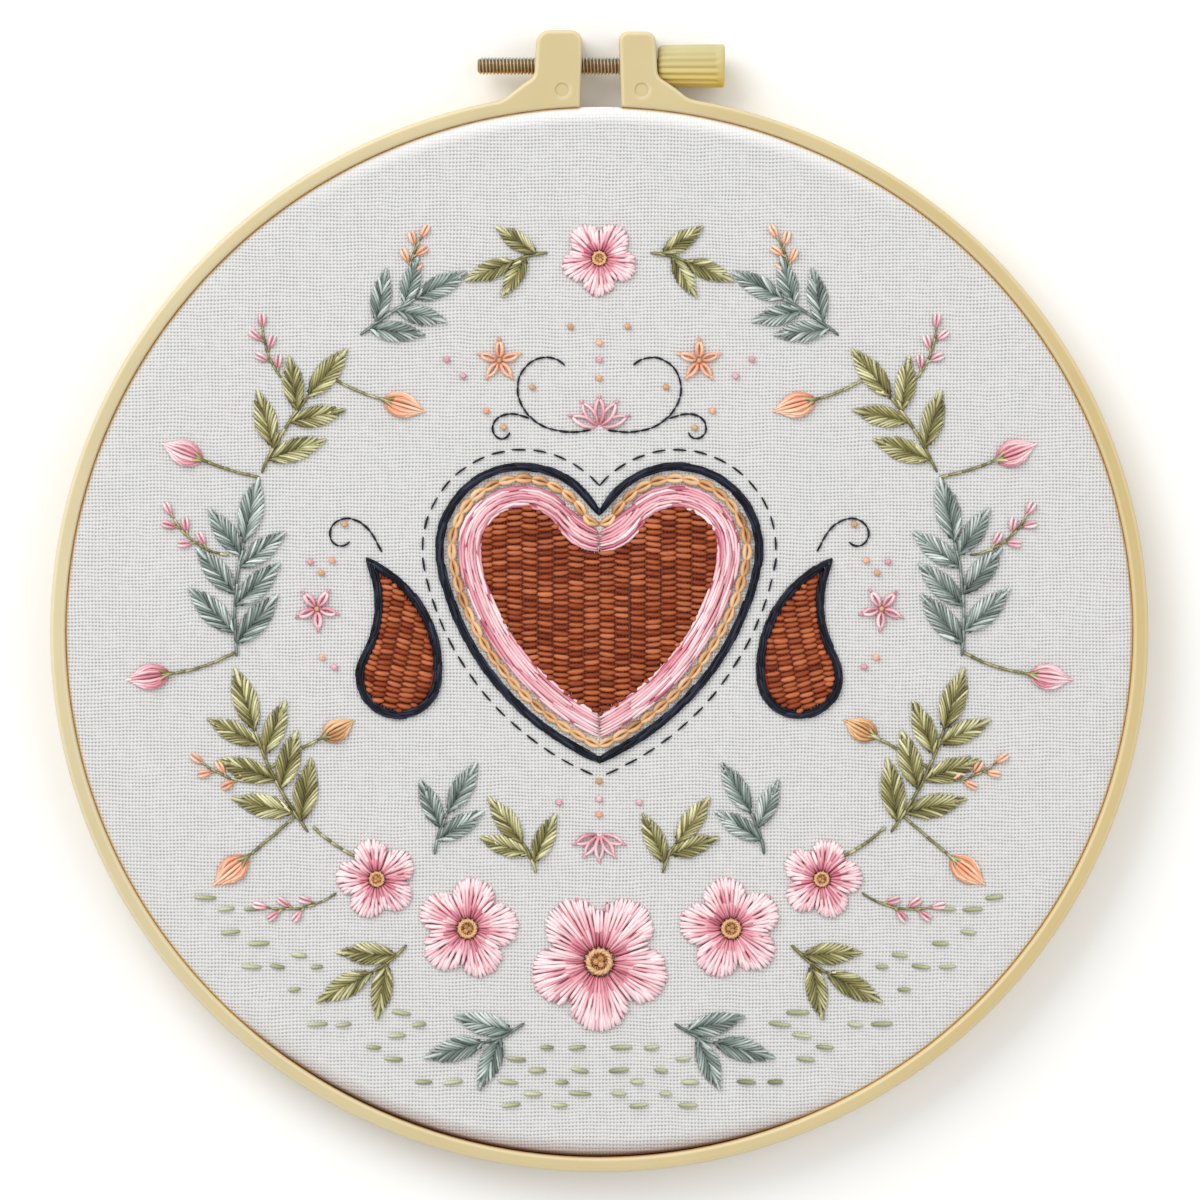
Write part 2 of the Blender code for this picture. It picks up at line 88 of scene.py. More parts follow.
# The hoops and the marks on the lugs.
RING_RIM = 2.8 * MM
WALL = RING_RADIUS - RING_RIM
BAND_RIM = 2.5 * MM
RING_STEPS = 180
MARK_RADIUS = 1.25 * MM
MARK_DEPTH = 0.2 * MM
LUG_MARKS = ((-6.8 * MM, 98.7 * MM), (7.7 * MM, 98.7 * MM))

# Outline of the clamp, from the hoop's centre. Each lug has its foot, its outer and its inner face.
LEFT_LUG = (-17.8 * MM, -11.6 * MM, -3.5 * MM)
RIGHT_LUG = (16.4 * MM, 10.4 * MM, 4.0 * MM)
LUG_SHOULDER = 101.2 * MM
LEFT_CORNER = 2.3 * MM
RIGHT_CORNER = 1.7 * MM
RIGHT_LUG_LOWER = 0.25 * MM
LUG_DRAFT = 0.5 * MM
BEND_RADIUS = 0.9 * MM
CLAMP_REACH = 25.0 * MM

# Screw and knob. The flutes fade out before the knob's far end, which is smooth.
SCREW_CHAMFER = 0.4 * MM
SCREW_STEPS = 24
SCREW_BORE_SIDES = 32
KNOB_BORE_SIDES = 48
KNOB_NEAR_EDGE = 1.0 * MM
KNOB_FAR_EDGE = 0.5 * MM
KNOB_TAPER = 0.15 * MM
KNOB_COLLAR = 1.0 * MM
KNOB_FADE = 0.9 * MM
KNOB_RINGS = (1.9, 1.6, 1.3, 1.0)  # where the fading is modelled, in millimetres from the far end

# The cloth sinks deepest beside the outer hoop round this heading, and is level with it elsewhere.
DEEP_HEADING = -98.0
DEEP_COSINES = (0.80, 0.97)
DEEP_DROP = 1.7 * MM
SHALLOW_DROP = 0.55 * MM
CLOTH_SPARE = 0.1 * MM  # how far it goes past its solid, to meet the outer hoop


class HoopSizes(bpy.types.PropertyGroup):
    """Sizes of the moulded hoops and the clamp that the frame leaves open."""

    edge: FloatProperty(
        name="Moulded edge", description="Radius of the hoops' edges", default=0.90 * MM, unit="LENGTH"
    )
    thread_pitch: FloatProperty(
        name="Screw pitch", description="Advance of the screw for one turn", default=0.635 * MM, unit="LENGTH"
    )
    thread_depth: FloatProperty(
        name="Screw thread depth", description="Depth of its V groove", default=0.34 * MM, unit="LENGTH"
    )
    flutes: IntProperty(name="Knob flutes", description="Grooves round the knob", default=18, min=6)
    flute_depth: FloatProperty(
        name="Flute depth", description="Depth of a groove of the knob", default=0.36 * MM, unit="LENGTH"
    )
    hoop_colour: FloatVectorProperty(
        name="Hoops", description="Moulded hoops", default=(0.620, 0.535, 0.316), subtype="COLOR"
    )
    # Painted shade: the hoops' darker, yellower colour on the knob's side, away from the light.
    hoop_painted_shade_side: FloatVectorProperty(
        name="Hoops, yellowed", description="Moulded hoops, on the knob's side", default=(0.566, 0.434, 0.186),
        subtype="COLOR",
    )
    knob_colour: FloatVectorProperty(
        name="Knob", description="Moulded knob", default=(0.548, 0.452, 0.178), subtype="COLOR"
    )
    screw_colour: FloatVectorProperty(
        name="Screw", description="Bronze plated steel", default=(0.47, 0.32, 0.18), subtype="COLOR"
    )


class ClothSizes(bpy.types.PropertyGroup):
    """The woven cloth."""

    thickness: FloatProperty(
        name="Thickness", description="Of the plain weave", default=0.45 * MM, unit="LENGTH"
    )
    pitch_across: FloatProperty(
        name="Warp pitch", description="From one upright thread to the next", default=0.62 * MM, unit="LENGTH"
    )
    pitch_along: FloatProperty(
        name="Weft pitch", description="From one level thread to the next", default=0.66 * MM, unit="LENGTH"
    )
    colour: FloatVectorProperty(
        name="Yarn", description="Bleached linen cotton", default=(0.718, 0.719, 0.713), subtype="COLOR"
    )
    shade: FloatVectorProperty(
        name="Between yarns", description="Shade in the weave's holes", default=(0.33, 0.325, 0.325),
        subtype="COLOR",
    )


class FlossSizes(bpy.types.PropertyGroup):
    """The embroidery floss."""

    width: FloatProperty(
        name="Laid width", description="Width of one laid thread", default=0.66 * MM, unit="LENGTH"
    )
    flatness: FloatProperty(
        name="Flatness", description="Share of the width that a thread stands high", default=0.72, min=0.2, max=1.0
    )
    wander: FloatProperty(
        name="Wander", description="How far a stitch misses its place", default=0.12 * MM, unit="LENGTH"
    )


class StageSettings(bpy.types.PropertyGroup):
    """Camera and studio light."""

    view_width: FloatProperty(
        name="View width", description="Width of the picture at the hoop", default=218.4 * MM, unit="LENGTH"
    )
    lens: FloatProperty(name="Lens", description="Focal length in millimetres", default=300.0)
    key: FloatProperty(name="Key light", description="From the upper left", default=23.0, unit="POWER")
    fill: FloatProperty(name="Fill light", description="From the lower right", default=7.0, unit="POWER")
    ambient: FloatProperty(name="Ambient", description="Strength of the white surroundings", default=0.74)


AIM = (0.13 * MM, 0.22 * MM)  # the picture's middle, from the part's
FLOOR_SIZE = 6.0
LAMP_SIZE = 1.40
LAMP_PLACES = {"key": (-1.00, 1.15, 1.25), "fill": (1.20, 0.20, 1.50)}


# --- Places on the hoop -------------------------------------------------------------------------


def direction(degrees):
    angle = np.radians(degrees)
    return np.stack([np.cos(angle), np.sin(angle)], axis=-1)


def bearing(start, end):
    return math.degrees(math.atan2(end[1] - start[1], end[0] - start[0]))


def arc(middle, radius, first, last, steps=24):
    """Points from one angle to another, both ends among them."""
    return np.asarray(middle) + direction(np.linspace(first, last, steps + 1)) * radius


def left_of(steps):
    """Unit vectors square to each step, on its left."""
    turned = np.stack([-steps[..., 1], steps[..., 0]], axis=-1)
    return turned / np.maximum(np.linalg.norm(turned, axis=-1, keepdims=True), 1e-9)


class Trail:
    """A drawn line, walked by the distance from its start."""

    def __init__(self, points):
        self.points = np.asarray(points, float)
        steps = np.linalg.norm(np.diff(self.points, axis=0), axis=1)
        self.distances = np.concatenate([[0.0], np.cumsum(steps)])
        self.length = self.distances[-1]

    def at(self, distance):
        return np.stack([np.interp(distance, self.distances, self.points[:, i]) for i in (0, 1)], axis=-1)

    def stitches(self, length, step, first=0.0):
        """Starts, ends and bows of stitches laid one after another along the whole line. A first below
        zero makes the first stitch shorter."""
        starts = np.arange(first, max(self.length - 0.3 * length, first + 0.5 * step), step)
        ends = np.minimum(starts + length, self.length)
        starts = np.maximum(starts, 0.0)
        ends[-1] = self.length
        keep = ends - starts > 0.25 * length
        return self.bowed(starts[keep], ends[keep])

    def bowed(self, starts, ends):
        """The line's stretches between these distances: where they start and end, and how they bow."""
        a, b, middle = self.at(starts), self.at(ends), self.at((starts + ends) / 2)
        return a, b, ((middle - (a + b) / 2) * left_of(b - a)).sum(axis=-1)


def spans(outline, y):
    """The stretches of a level line that lie inside a closed outline."""
    here, there = outline, np.roll(outline, -1, axis=0)
    crosses = (here[:, 1] > y) != (there[:, 1] > y)
    a, b = here[crosses], there[crosses]
    found = np.sort(a[:, 0] + (y - a[:, 1]) * (b[:, 0] - a[:, 0]) / (b[:, 1] - a[:, 1]))
    return found.reshape(-1, 2)


# --- Laid threads -------------------------------------------------------------------------------

SIDES = 6
STITCH_STOPS = 0.5 - 0.5 * np.cos(np.linspace(0.0, np.pi, 7))
BACK_SIDES = 4
BACK_STOPS = np.array([0.0, 0.5, 1.0])
BACK_WIDTHS = np.array([0.6, 1.0, 0.6]) * 0.42  # half widths of a float, in laid widths
SHORTEST_FLOAT = 0.4 * MM
LONGEST_FLOAT = 9.0 * MM
FLOAT_SAG = (0.30, 0.75)
FLOATS = {}  # the stitches laid so far in each colour, for the threads between them on the back
SUNK = 0.35  # share of a thread's height that its ends go into the cloth
ARCH = 0.4  # power of a stitch's rise from its ends
THINNEST = 0.34  # share of its width that a stitch keeps at its ends
UNEVEN = 0.06  # spread of the widths of like stitches


def bulge(stops, power):
    return (4 * stops * (1 - stops)) ** power


class Threads:
    """Threads laid for one piece. Each is a short tube that rises from the cloth and dips back into it."""

    def __init__(self, name, sizes):
        self.name = name
        self.sizes = sizes
        self.random = np.random.default_rng(list(name.encode()))
        self.tubes = []
        self.floats = []

    def about(self, size, *shape):
        return self.random.normal(0.0, size, shape)

    def stitches(self, starts, ends, width=1.0, rise=0.0, under=0.0, bow=0.0, narrow=(1.0, 1.0),
                 tone=(0.5, 0.5), spread=0.10, wander=1.0, mirror=1, blunt=0.3):
        """Straight or slightly bowed stitches. width is in threads; under is what lies below them,
        rise how far their middles stand above that, and narrow the share of the width at each end."""
        starts = np.atleast_2d(np.asarray(starts, float)).copy()
        ends = np.atleast_2d(np.asarray(ends, float)).copy()
        count = len(starts)
        starts += self.about(self.sizes.wander * wander, count, 2)
        ends += self.about(self.sizes.wander * wander, count, 2)
        across = left_of(ends - starts)
        s = STITCH_STOPS
        arch = bulge(s, ARCH)
        full = np.maximum(bulge(s, blunt), THINNEST)
        per = {name: np.broadcast_to(np.asarray(value, float), (count,))[:, None]
               for name, value in (("width", width), ("rise", rise), ("under", under), ("bow", bow))}
        uneven = 1.0 + self.about(UNEVEN, count, 1)
        wide = self.sizes.width * per["width"] * uneven * full * (narrow[0] + (narrow[1] - narrow[0]) * s)
        high = wide * self.sizes.flatness
        top = high.max(axis=1, keepdims=True)
        path = starts[:, None] + (ends - starts)[:, None] * s[:, None]
        path = path + across[:, None] * (per["bow"] * bulge(s, 1.0))[..., None]
        z = per["under"] + (per["rise"] + top / 2) * arch - SUNK * top * (1 - arch)
        points = np.concatenate([path, z[..., None] + FRONT], axis=-1)
        shades = tone[0] + (tone[1] - tone[0]) * s + self.about(spread, count, 1)
        self.add(points, wide / 2, high / 2, shades, mirror)
        self.floats.append((np.stack([starts, ends], axis=1) * (mirror, 1.0), wide.max(axis=1)))

    def cord(self, path, heights, width=1.0, tone=0.5, mirror=1, ends=0.5):
        """One long round thread along a path, at given heights above the cloth."""
        path = np.asarray(path, float)
        count = len(path)
        stops = np.linspace(0.0, 1.0, count)
        full = np.clip(ends + (1 - ends) * np.minimum(stops, 1 - stops) * count / 2, 0.0, 1.0)
        wide = np.broadcast_to(self.sizes.width * width * full, (1, count))
        points = np.concatenate([path, FRONT + np.broadcast_to(heights, (count,))[:, None]], axis=1)
        shades = np.full((1, count), tone) + self.about(0.05, 1, 1)
        self.add(points[None], wide / 2, wide / 2 * 0.9, shades, mirror)

    def add(self, points, half_width, half_height, shades, mirror):
        points = points * np.array([mirror, 1.0, 1.0]) + np.array([0.0, HOOP_Y, 0.0])
        self.tubes.append((points, half_width, half_height, np.clip(shades, 0.0, 1.0)))

    def knot(self, middle, size=1.0, tone=0.5, under=0.0, mirror=1):
        """A French knot: one thread wound twice and drawn down."""
        turns = np.linspace(0.0, 2.1, 15)
        start = self.random.uniform(0.0, 360.0)
        radius = self.sizes.width * size * (0.72 - 0.26 * turns)
        path = np.asarray(middle) + direction(start + 360.0 * turns) * radius[:, None]
        self.cord(path, under + self.sizes.width * size * (0.30 + 0.28 * turns), 0.8 * size, tone, mirror)

    def piece(self, colour, nodes=()):
        """Makes the threads one mesh, which stands for the pads of the frame."""
        obj = tube_object(self.name, self.tubes, SIDES, floss(colour))
        FLOATS.setdefault(colour, []).extend(self.floats)
        return finish_piece(obj, HOOP_BODY, nodes)


def tube_object(name, tubes, sides, material):
    """Joins closed tubes into one mesh, with a UV map that runs round and along each thread."""
    angles = np.radians(-90.0 + 360.0 * np.arange(sides) / sides)
    corners, faces, uvs, shades, lots = [], [], [], [], []
    first = 0
    random = np.random.default_rng(len(name))
    for points, half_width, half_height, tone in tubes:
        count, rings = half_width.shape
        along = np.gradient(points, axis=1)
        along /= np.maximum(np.linalg.norm(along, axis=-1, keepdims=True), 1e-12)
        up = np.array([0.0, 0.0, 1.0]) - along * along[..., 2:]
        up /= np.maximum(np.linalg.norm(up, axis=-1, keepdims=True), 1e-12)
        side = np.cross(along, up)
        ring = (
            points[:, :, None]
            + side[:, :, None] * (half_width[..., None] * np.cos(angles))[..., None]
            + up[:, :, None] * (half_height[..., None] * np.sin(angles))[..., None]
        )
        corners.append(ring.reshape(-1, 3))
        index = first + np.arange(count * rings * sides).reshape(count, rings, sides)
        after = np.roll(index, -1, axis=2)
        quads = np.stack([index[:, :-1], index[:, 1:], after[:, 1:], after[:, :-1]], axis=-1)
        steps = np.linalg.norm(np.diff(points, axis=1), axis=-1)
        far = np.concatenate([np.zeros((count, 1)), np.cumsum(steps, axis=1)], axis=1)
        far = far + random.uniform(0.0, 1.0, (count, 1))
        low = np.broadcast_to(np.arange(sides) / sides, (count, rings - 1, sides))
        high = low + 1.0 / sides
        back = np.broadcast_to(far[:, :-1, None], low.shape)
        ahead = np.broadcast_to(far[:, 1:, None], low.shape)
        quad_uvs = np.stack([low, back, low, ahead, high, ahead, high, back], axis=-1)
        faces += quads.reshape(-1, 4).tolist()
        faces += index[:, 0].tolist()
        faces += index[:, -1, ::-1].tolist()
        uvs.append(quad_uvs.reshape(-1, 2))
        for end in (0, -1):
            flat = np.stack([np.full((count, sides), 0.5), np.repeat(far[:, [end]], sides, 1)], axis=-1)
            uvs.append(flat.reshape(-1, 2))
        shades.append(np.repeat(tone[..., None], sides, axis=2).reshape(-1))
        lots.append(np.repeat(random.uniform(0.0, 1.0, count), rings * sides))
        first += count * rings * sides
    mesh = bpy.data.meshes.new(name)
    mesh.from_pydata(np.concatenate(corners).tolist(), [], faces)
    mesh.uv_layers.new(name="along_thread").data.foreach_set("uv", np.concatenate(uvs).ravel())
    for label, values in (("tone", shades), ("lot", lots)):
        layer = mesh.attributes.new(label, "FLOAT", "POINT")
        layer.data.foreach_set("value", np.concatenate(values).astype(np.float32))
    mesh.shade_smooth()
    mesh.materials.append(material)
    return add_object(name, mesh)


def add_object(name, data):
    obj = bpy.data.objects.new(name, data)
    bpy.context.scene.collection.objects.link(obj)
    return obj


def finish_piece(obj, body, nodes=()):
    """Puts a finished piece in the frame: on its body and in place of its nodes."""
    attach(obj, body)
    if nodes:
        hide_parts(*nodes)
    return obj


# --- Shader groups ------------------------------------------------------------------------------


def socket(tree, value, target):
    """Links a socket to an input, or sets the input to a number or a colour."""
    if isinstance(value, bpy.types.NodeSocket):
        tree.links.new(value, target)
    elif isinstance(value, (tuple, list)):
        target.default_value = (*value, 1.0) if len(target.default_value) > len(value) else value
    else:
        target.default_value = value


def fill(tree, node, **values):
    """Sets or links a node's inputs by their names."""
    for label, value in values.items():
        socket(tree, value, node.inputs[label.replace("_", " ")])


def new_node(tree, kind, *values, **settings):
    """A shader node with its settings, and values or sockets for its first inputs."""
    node = tree.nodes.new("ShaderNode" + kind)
    for name, value in settings.items():
        setattr(node, name, value)
    for value, target in zip(values, node.inputs):
        socket(tree, value, target)
    return node


def sums(tree, operation, *values):
    """One step of arithmetic on numbers or sockets."""
    return new_node(tree, "Math", *values, operation=operation).outputs[0]


def times(tree, a, b):
    return sums(tree, "MULTIPLY", a, b)


def vectors(tree, operation, *values):
    """One step of arithmetic on vectors, and its result, which can be a number."""
    node = new_node(tree, "VectorMath", *values, operation=operation)
    return node.outputs["Value" if operation in ("LENGTH", "DISTANCE", "DOT_PRODUCT") else "Vector"]


def axes(tree, place):
    """The three coordinates of a place."""
    return new_node(tree, "SeparateXYZ", place).outputs


def noise(tree, place, scale, detail=2.0, roughness=0.5):
    node = new_node(tree, "TexNoise")
    fill(tree, node, Vector=place, Scale=scale, Detail=detail, Roughness=roughness)
    return node.outputs["Fac"]


def mix_colour(tree, share, a, b, blend="MIX"):
    node = new_node(tree, "Mix", share, data_type="RGBA", blend_type=blend)
    socket(tree, a, node.inputs[6])
    socket(tree, b, node.inputs[7])
    return node.outputs[2]


def remap(tree, value, low, high, to_low=0.0, to_high=1.0):
    """Maps a range of values to another, and clamps it."""
    return new_node(tree, "MapRange", value, low, high, to_low, to_high).outputs["Result"]


def bump(tree, height, distance, strength):
    node = new_node(tree, "Bump")
    fill(tree, node, Height=height, Distance=distance, Strength=strength)
    return node.outputs["Normal"]


def shader_group(name, inputs, outputs):
    """An empty node group with its sockets: its tree, its input sockets by name and its output node."""
    tree = bpy.data.node_groups.new(name, "ShaderNodeTree")
    kinds = {"colour": "NodeSocketColor", "value": "NodeSocketFloat", "vector": "NodeSocketVector"}
    for label, kind, value in inputs:
        made = tree.interface.new_socket(name=label, in_out="INPUT", socket_type=kinds[kind])
        if value is not None:
            made.default_value = (*value, 1.0) if kind == "colour" else value
    for label, kind in outputs:
        tree.interface.new_socket(name=label, in_out="OUTPUT", socket_type=kinds[kind])
    given = tree.nodes.new("NodeGroupInput")
    result = tree.nodes.new("NodeGroupOutput")
    return tree, {s.name: s for s in given.outputs if s.name}, result


def woven_group():
    """A plain weave on object coordinates: its height, its holes and each yarn's own shade."""
    tree, given, result = shader_group(
        "woven_cloth",
        [("Place", "vector", None), ("Pitch Across", "value", 0.62 * MM), ("Pitch Along", "value", 0.66 * MM)],
        [("Height", "value"), ("Holes", "value"), ("Yarn", "value")],
    )
    place = given["Place"]
    drift, ripple = noise(tree, place, 90.0, 1.0), noise(tree, place, 420.0, 1.0)
    counts = []
    for coordinate, pitch, wobble in zip(axes(tree, place), ("Pitch Across", "Pitch Along"), (1.3, 1.6)):
        count = sums(tree, "DIVIDE", coordinate, given[pitch])
        count = sums(tree, "ADD", count, times(tree, drift, wobble))
        counts.append(sums(tree, "ADD", count, times(tree, ripple, 0.35)))
    heights, rounds, yarns = [], [], []
    for own, other, over in ((*counts, 0.5), (*reversed(counts), 1.5)):
        number = sums(tree, "FLOOR", own)
        rounded = sums(tree, "ABSOLUTE", sums(tree, "SINE", times(tree, own, math.pi)))
        turn = sums(tree, "SUBTRACT", sums(tree, "SUBTRACT", other, over), number)
        wave = sums(tree, "COSINE", times(tree, turn, math.pi))
        lift = sums(tree, "MULTIPLY_ADD", wave, 0.5, 0.5)
        heights.append(times(tree, sums(tree, "POWER", rounded, 0.6), lift))
        rounds.append(rounded)
        yarn = new_node(tree, "TexWhiteNoise", noise_dimensions="1D")
        fill(tree, yarn, W=number)
        yarns.append(times(tree, yarn.outputs["Value"], lift))
    open_across, open_along = (
        sums(tree, "POWER", sums(tree, "SUBTRACT", 1.0, rounded), power)
        for rounded, power in zip(rounds, (0.65, 1.05))
    )
    uneven = remap(tree, noise(tree, place, 700.0), 0.3, 0.7, 0.55, 1.25)
    holes = times(tree, times(tree, open_across, open_along), uneven)
    fill(
        tree, result, Height=sums(tree, "MAXIMUM", *heights), Holes=remap(tree, holes, 0.04, 0.55),
        Yarn=sums(tree, "ADD", *yarns),
    )
    return tree


def floss_group():
    """Stranded floss: deep to light by tone, with fibres that run round and along each thread, a painted highlight
    along each thread's crest and painted shade down its sides.
    """
    tree, given, result = shader_group(
        "laid_floss",
        [("Deep", "colour", (0.1, 0.1, 0.1)), ("Middle", "colour", (0.4, 0.4, 0.4)),
         ("Light", "colour", (0.8, 0.8, 0.8)), ("Streaks", "value", 0.5)],
        [("Color", "colour"), ("Fibres", "value")],
    )
    around, along, _ = axes(tree, new_node(tree, "UVMap", uv_map="along_thread").outputs[0])
    twisted = sums(tree, "ADD", times(tree, around, 7.0), times(tree, along, 260.0))
    place = new_node(tree, "CombineXYZ", twisted, times(tree, along, 300.0)).outputs[0]
    fibres = noise(tree, place, 2.4, 3.0, 0.6)
    tone, lot = (new_node(tree, "Attribute", attribute_name=name).outputs["Fac"] for name in ("tone", "lot"))
    swing = times(tree, sums(tree, "SUBTRACT", fibres, 0.5), given["Streaks"])
    # Painted highlight and shade: lighter along the top of each thread, darker down its sides and underneath.
    off_crest = sums(tree, "ABSOLUTE", sums(tree, "SUBTRACT", around, 0.5))
    painted_crest_shading = remap(tree, off_crest, 0.04, 0.26, 0.16, -0.34)
    shade = sums(tree, "ADD", tone, sums(tree, "ADD", swing, painted_crest_shading))
    low = mix_colour(tree, remap(tree, shade, 0.0, 0.5), given["Deep"], given["Middle"])
    high = mix_colour(tree, remap(tree, shade, 0.5, 1.0), low, given["Light"])
    dimmed = new_node(tree, "VectorMath", high, operation="SCALE")
    fill(tree, dimmed, Scale=remap(tree, lot, 0.0, 1.0, 0.90, 1.06))
    fill(tree, result, Color=dimmed.outputs[0], Fibres=fibres)
    return tree


def moulded_group():
    """Moulded plastic: faint flow marks, handling haze and a very fine orange peel."""
    tree, given, result = shader_group(
        "moulded_plastic",
        [("Place", "vector", None), ("Color", "colour", (0.7, 0.6, 0.4))],
        [("Color", "colour"), ("Haze", "value"), ("Peel", "value")],
    )
    flow = noise(tree, given["Place"], 28.0, 3.0, 0.55)
    lighter = mix_colour(tree, 0.05, given["Color"], (1.0, 0.95, 0.82))
    darker = mix_colour(tree, 0.06, given["Color"], (0.50, 0.33, 0.12), "MULTIPLY")
    fill(
        tree, result, Color=mix_colour(tree, remap(tree, flow, 0.35, 0.65), darker, lighter),
        Haze=noise(tree, given["Place"], 160.0, 4.0, 0.6), Peel=noise(tree, given["Place"], 2600.0),
    )
    return tree


@functools.cache
def shared_group(make):
    """A node group that several materials use, made when it is first asked for."""
    return make()


def use_group(tree, group, **values):
    node = new_node(tree, "Group", node_tree=group)
    fill(tree, node, **values)
    return node


def new_material(name, **settings):
    """A material with its Principled shader, whose plain inputs are set here."""
    material = bpy.data.materials.new(name)
    material.use_nodes = True
    shader = material.node_tree.nodes["Principled BSDF"]
    fill(material.node_tree, shader, **settings)
    return material, material.node_tree, shader


def object_place(tree):
    return new_node(tree, "TexCoord").outputs["Object"]


# --- Materials: tints in linear colours, and the shares and ranges over which they show ---------

# Painted highlight on the moulded edges, and painted warm shade down their sides.
EDGE_PAINTED_HIGHLIGHT = (0.97, 0.90, 0.70)
SIDE_PAINTED_SHADE = (0.52, 0.37, 0.12)
# Painted highlight beside the lug marks.
MARK_PAINTED_HIGHLIGHT = (0.76, 0.65, 0.47)
# Painted shade in the groove between the hoop and the cloth.
GROOVE_PAINTED_SHADE = (0.66, 0.42, 0.12)
GROOVE_PAINTED_DEEP_SHADE = (0.50, 0.25, 0.07)
# Painted light on the knob: paler on top, a warm glow underneath.
KNOB_PAINTED_TOP_LIGHT = (0.55, 0.50, 0.26)
KNOB_PAINTED_UNDERSIDE_GLOW = (0.76, 0.57, 0.12)
PLATING_YELLOW = (0.60, 0.46, 0.26)
# Painted reflections on the screw: cool grey above, amber below.
PLATING_PAINTED_COOL_REFLECTION = (0.50, 0.57, 0.54)
PLATING_PAINTED_AMBER_REFLECTION = (0.95, 0.55, 0.12)
PLATING_DULL = (0.30, 0.18, 0.09)
THREAD_ROOT = (0.16, 0.085, 0.035)
YARN_WARM = (0.715, 0.695, 0.67)
# Painted light and shade on the cloth beside the hoop.
CLOTH_PAINTED_LIGHT = (0.93, 0.93, 0.925)
CLOTH_PAINTED_SHADE = (0.33, 0.19, 0.13)
CLOTH_PAINTED_EDGE_SHADE = (0.62, 0.40, 0.14)
CLOTH_PAINTED_DARK_LINE = (0.15, 0.05, 0.025)


def painted_edge_light_and_shade(tree, colour, far):
    """Painted light and shade on the moulded edges: a painted highlight where they turn over, then a painted warm
    shade down the side.
    """
    upward = sums(tree, "ABSOLUTE", axes(tree, new_node(tree, "NewGeometry").outputs["Normal"])[2])
    turning = times(tree, remap(tree, upward, 0.99, 0.90), remap(tree, upward, 0.30, 0.60, 0.0, 0.22))
    paler = mix_colour(tree, turning, colour, EDGE_PAINTED_HIGHLIGHT)
    # Painted shade: a warm band down the side, fainter further down.
    below = remap(tree, far, 0.60 * MM, 0.95 * MM, 0.0, 0.55)
    deeper = remap(tree, far, 2.0 * MM, 5.0 * MM, 1.0, 0.25)
    return mix_colour(tree, times(tree, below, deeper), paler, SIDE_PAINTED_SHADE)


def painted_mark_highlights(tree, colour, place):
    """A painted highlight: paler plastic just outside each round mark of the lugs, on its lower right."""
    for x, y in LUG_MARKS:
        apart = vectors(tree, "DISTANCE", place, (x, HOOP_Y + y, RING_DEPTH))
        aside = vectors(tree, "DOT_PRODUCT", place, (1.0, -1.0, 0.0))
        middle = x - HOOP_Y - y
        lower_right = remap(tree, aside, middle - 0.4 * MM, middle + 1.6 * MM)
        ring = remap(tree, apart, MARK_RADIUS + 0.2 * MM, MARK_RADIUS + 0.9 * MM, 0.5, 0.0)
        outside = remap(tree, apart, MARK_RADIUS - 0.05 * MM, MARK_RADIUS + 0.05 * MM)
        colour = mix_colour(tree, times(tree, times(tree, ring, outside), lower_right), colour, MARK_PAINTED_HIGHLIGHT)
    return colour


def on_ring(tree, place):
    """A point's distance from the hoop's axis, as on a round hoop, its height above it and how deep the
    cloth sinks there."""
    centred = vectors(tree, "MULTIPLY_ADD", place, (1.0, 1.0 / OVAL, 0.0), (0.0, -HOOP_Y / OVAL, 0.0))
    towards = vectors(tree, "DOT_PRODUCT", centred, (*direction(DEEP_HEADING), 0.0))
    deep = remap(tree, towards, *(cosine * WALL for cosine in DEEP_COSINES))
    return vectors(tree, "LENGTH", centred), axes(tree, centred)[1], deep


def painted_groove_shade(tree, colour, place):
    """Painted shade on the hoop's inner wall beside the cloth: golden brown, and deeper brown where the cloth
    sinks deepest.
    """
    far, _, deep = on_ring(tree, place)
    inside = remap(tree, far, WALL + 0.02 * MM, WALL + 0.28 * MM, 0.85, 0.0)
    return mix_colour(tree, inside, colour, mix_colour(tree, deep, GROOVE_PAINTED_SHADE, GROOVE_PAINTED_DEEP_SHADE))


def hoop_painted_light(tree, place, sizes):
    """Painted light and shade: the hoop's plastic is paler on the left and darker and yellower on the knob's side,
    away from the light.
    """
    across = remap(tree, axes(tree, place)[0], -RING_RADIUS, RING_RADIUS)
    return mix_colour(tree, across, tuple(sizes.hoop_colour), tuple(sizes.hoop_painted_shade_side))


def knob_painted_light(tree, place, sizes):
    """Painted light: the knob is paler at its top, and deep yellow below for the warm glow of its shaded
    underside.
    """
    y = axes(tree, place)[1]
    paler = mix_colour(tree, remap(tree, y, AXIS.y, AXIS.y + KNOB_RADIUS), tuple(sizes.knob_colour), KNOB_PAINTED_TOP_LIGHT)
    return mix_colour(tree, remap(tree, y, AXIS.y, AXIS.y - KNOB_RADIUS), paler, KNOB_PAINTED_UNDERSIDE_GLOW)


def plastic_material(name, sizes, base=None, grooved=False):
    """Moulded plastic in the hoops' colour, or in the one that base makes over the surface."""
    material, tree, shader = new_material(
        name, Roughness=0.42, Specular_IOR_Level=0.45, Subsurface_Weight=0.12, Subsurface_Scale=2.0 * MM,
        Subsurface_Radius=(1.0, 0.6, 0.25),
    )
    place = object_place(tree)
    colour = base(tree, place, sizes) if base else tuple(sizes.hoop_colour)
    moulded = use_group(tree, shared_group(moulded_group), Place=place, Color=colour)
    colour = moulded.outputs["Color"]
    if grooved:
        # Painted light and shade: edge highlights and side shade, golden shade in the groove by the cloth, and
        # highlights beside the lug marks.
        colour = painted_edge_light_and_shade(tree, colour, sums(tree, "SUBTRACT", RING_DEPTH, axes(tree, place)[2]))
        colour = painted_mark_highlights(tree, painted_groove_shade(tree, colour, place), place)
    fill(
        tree, shader, Base_Color=colour, Roughness=remap(tree, moulded.outputs["Haze"], 0.3, 0.7, 0.36, 0.50),
        Normal=bump(tree, moulded.outputs["Peel"], 0.02 * MM, 0.35),
    )
    return material


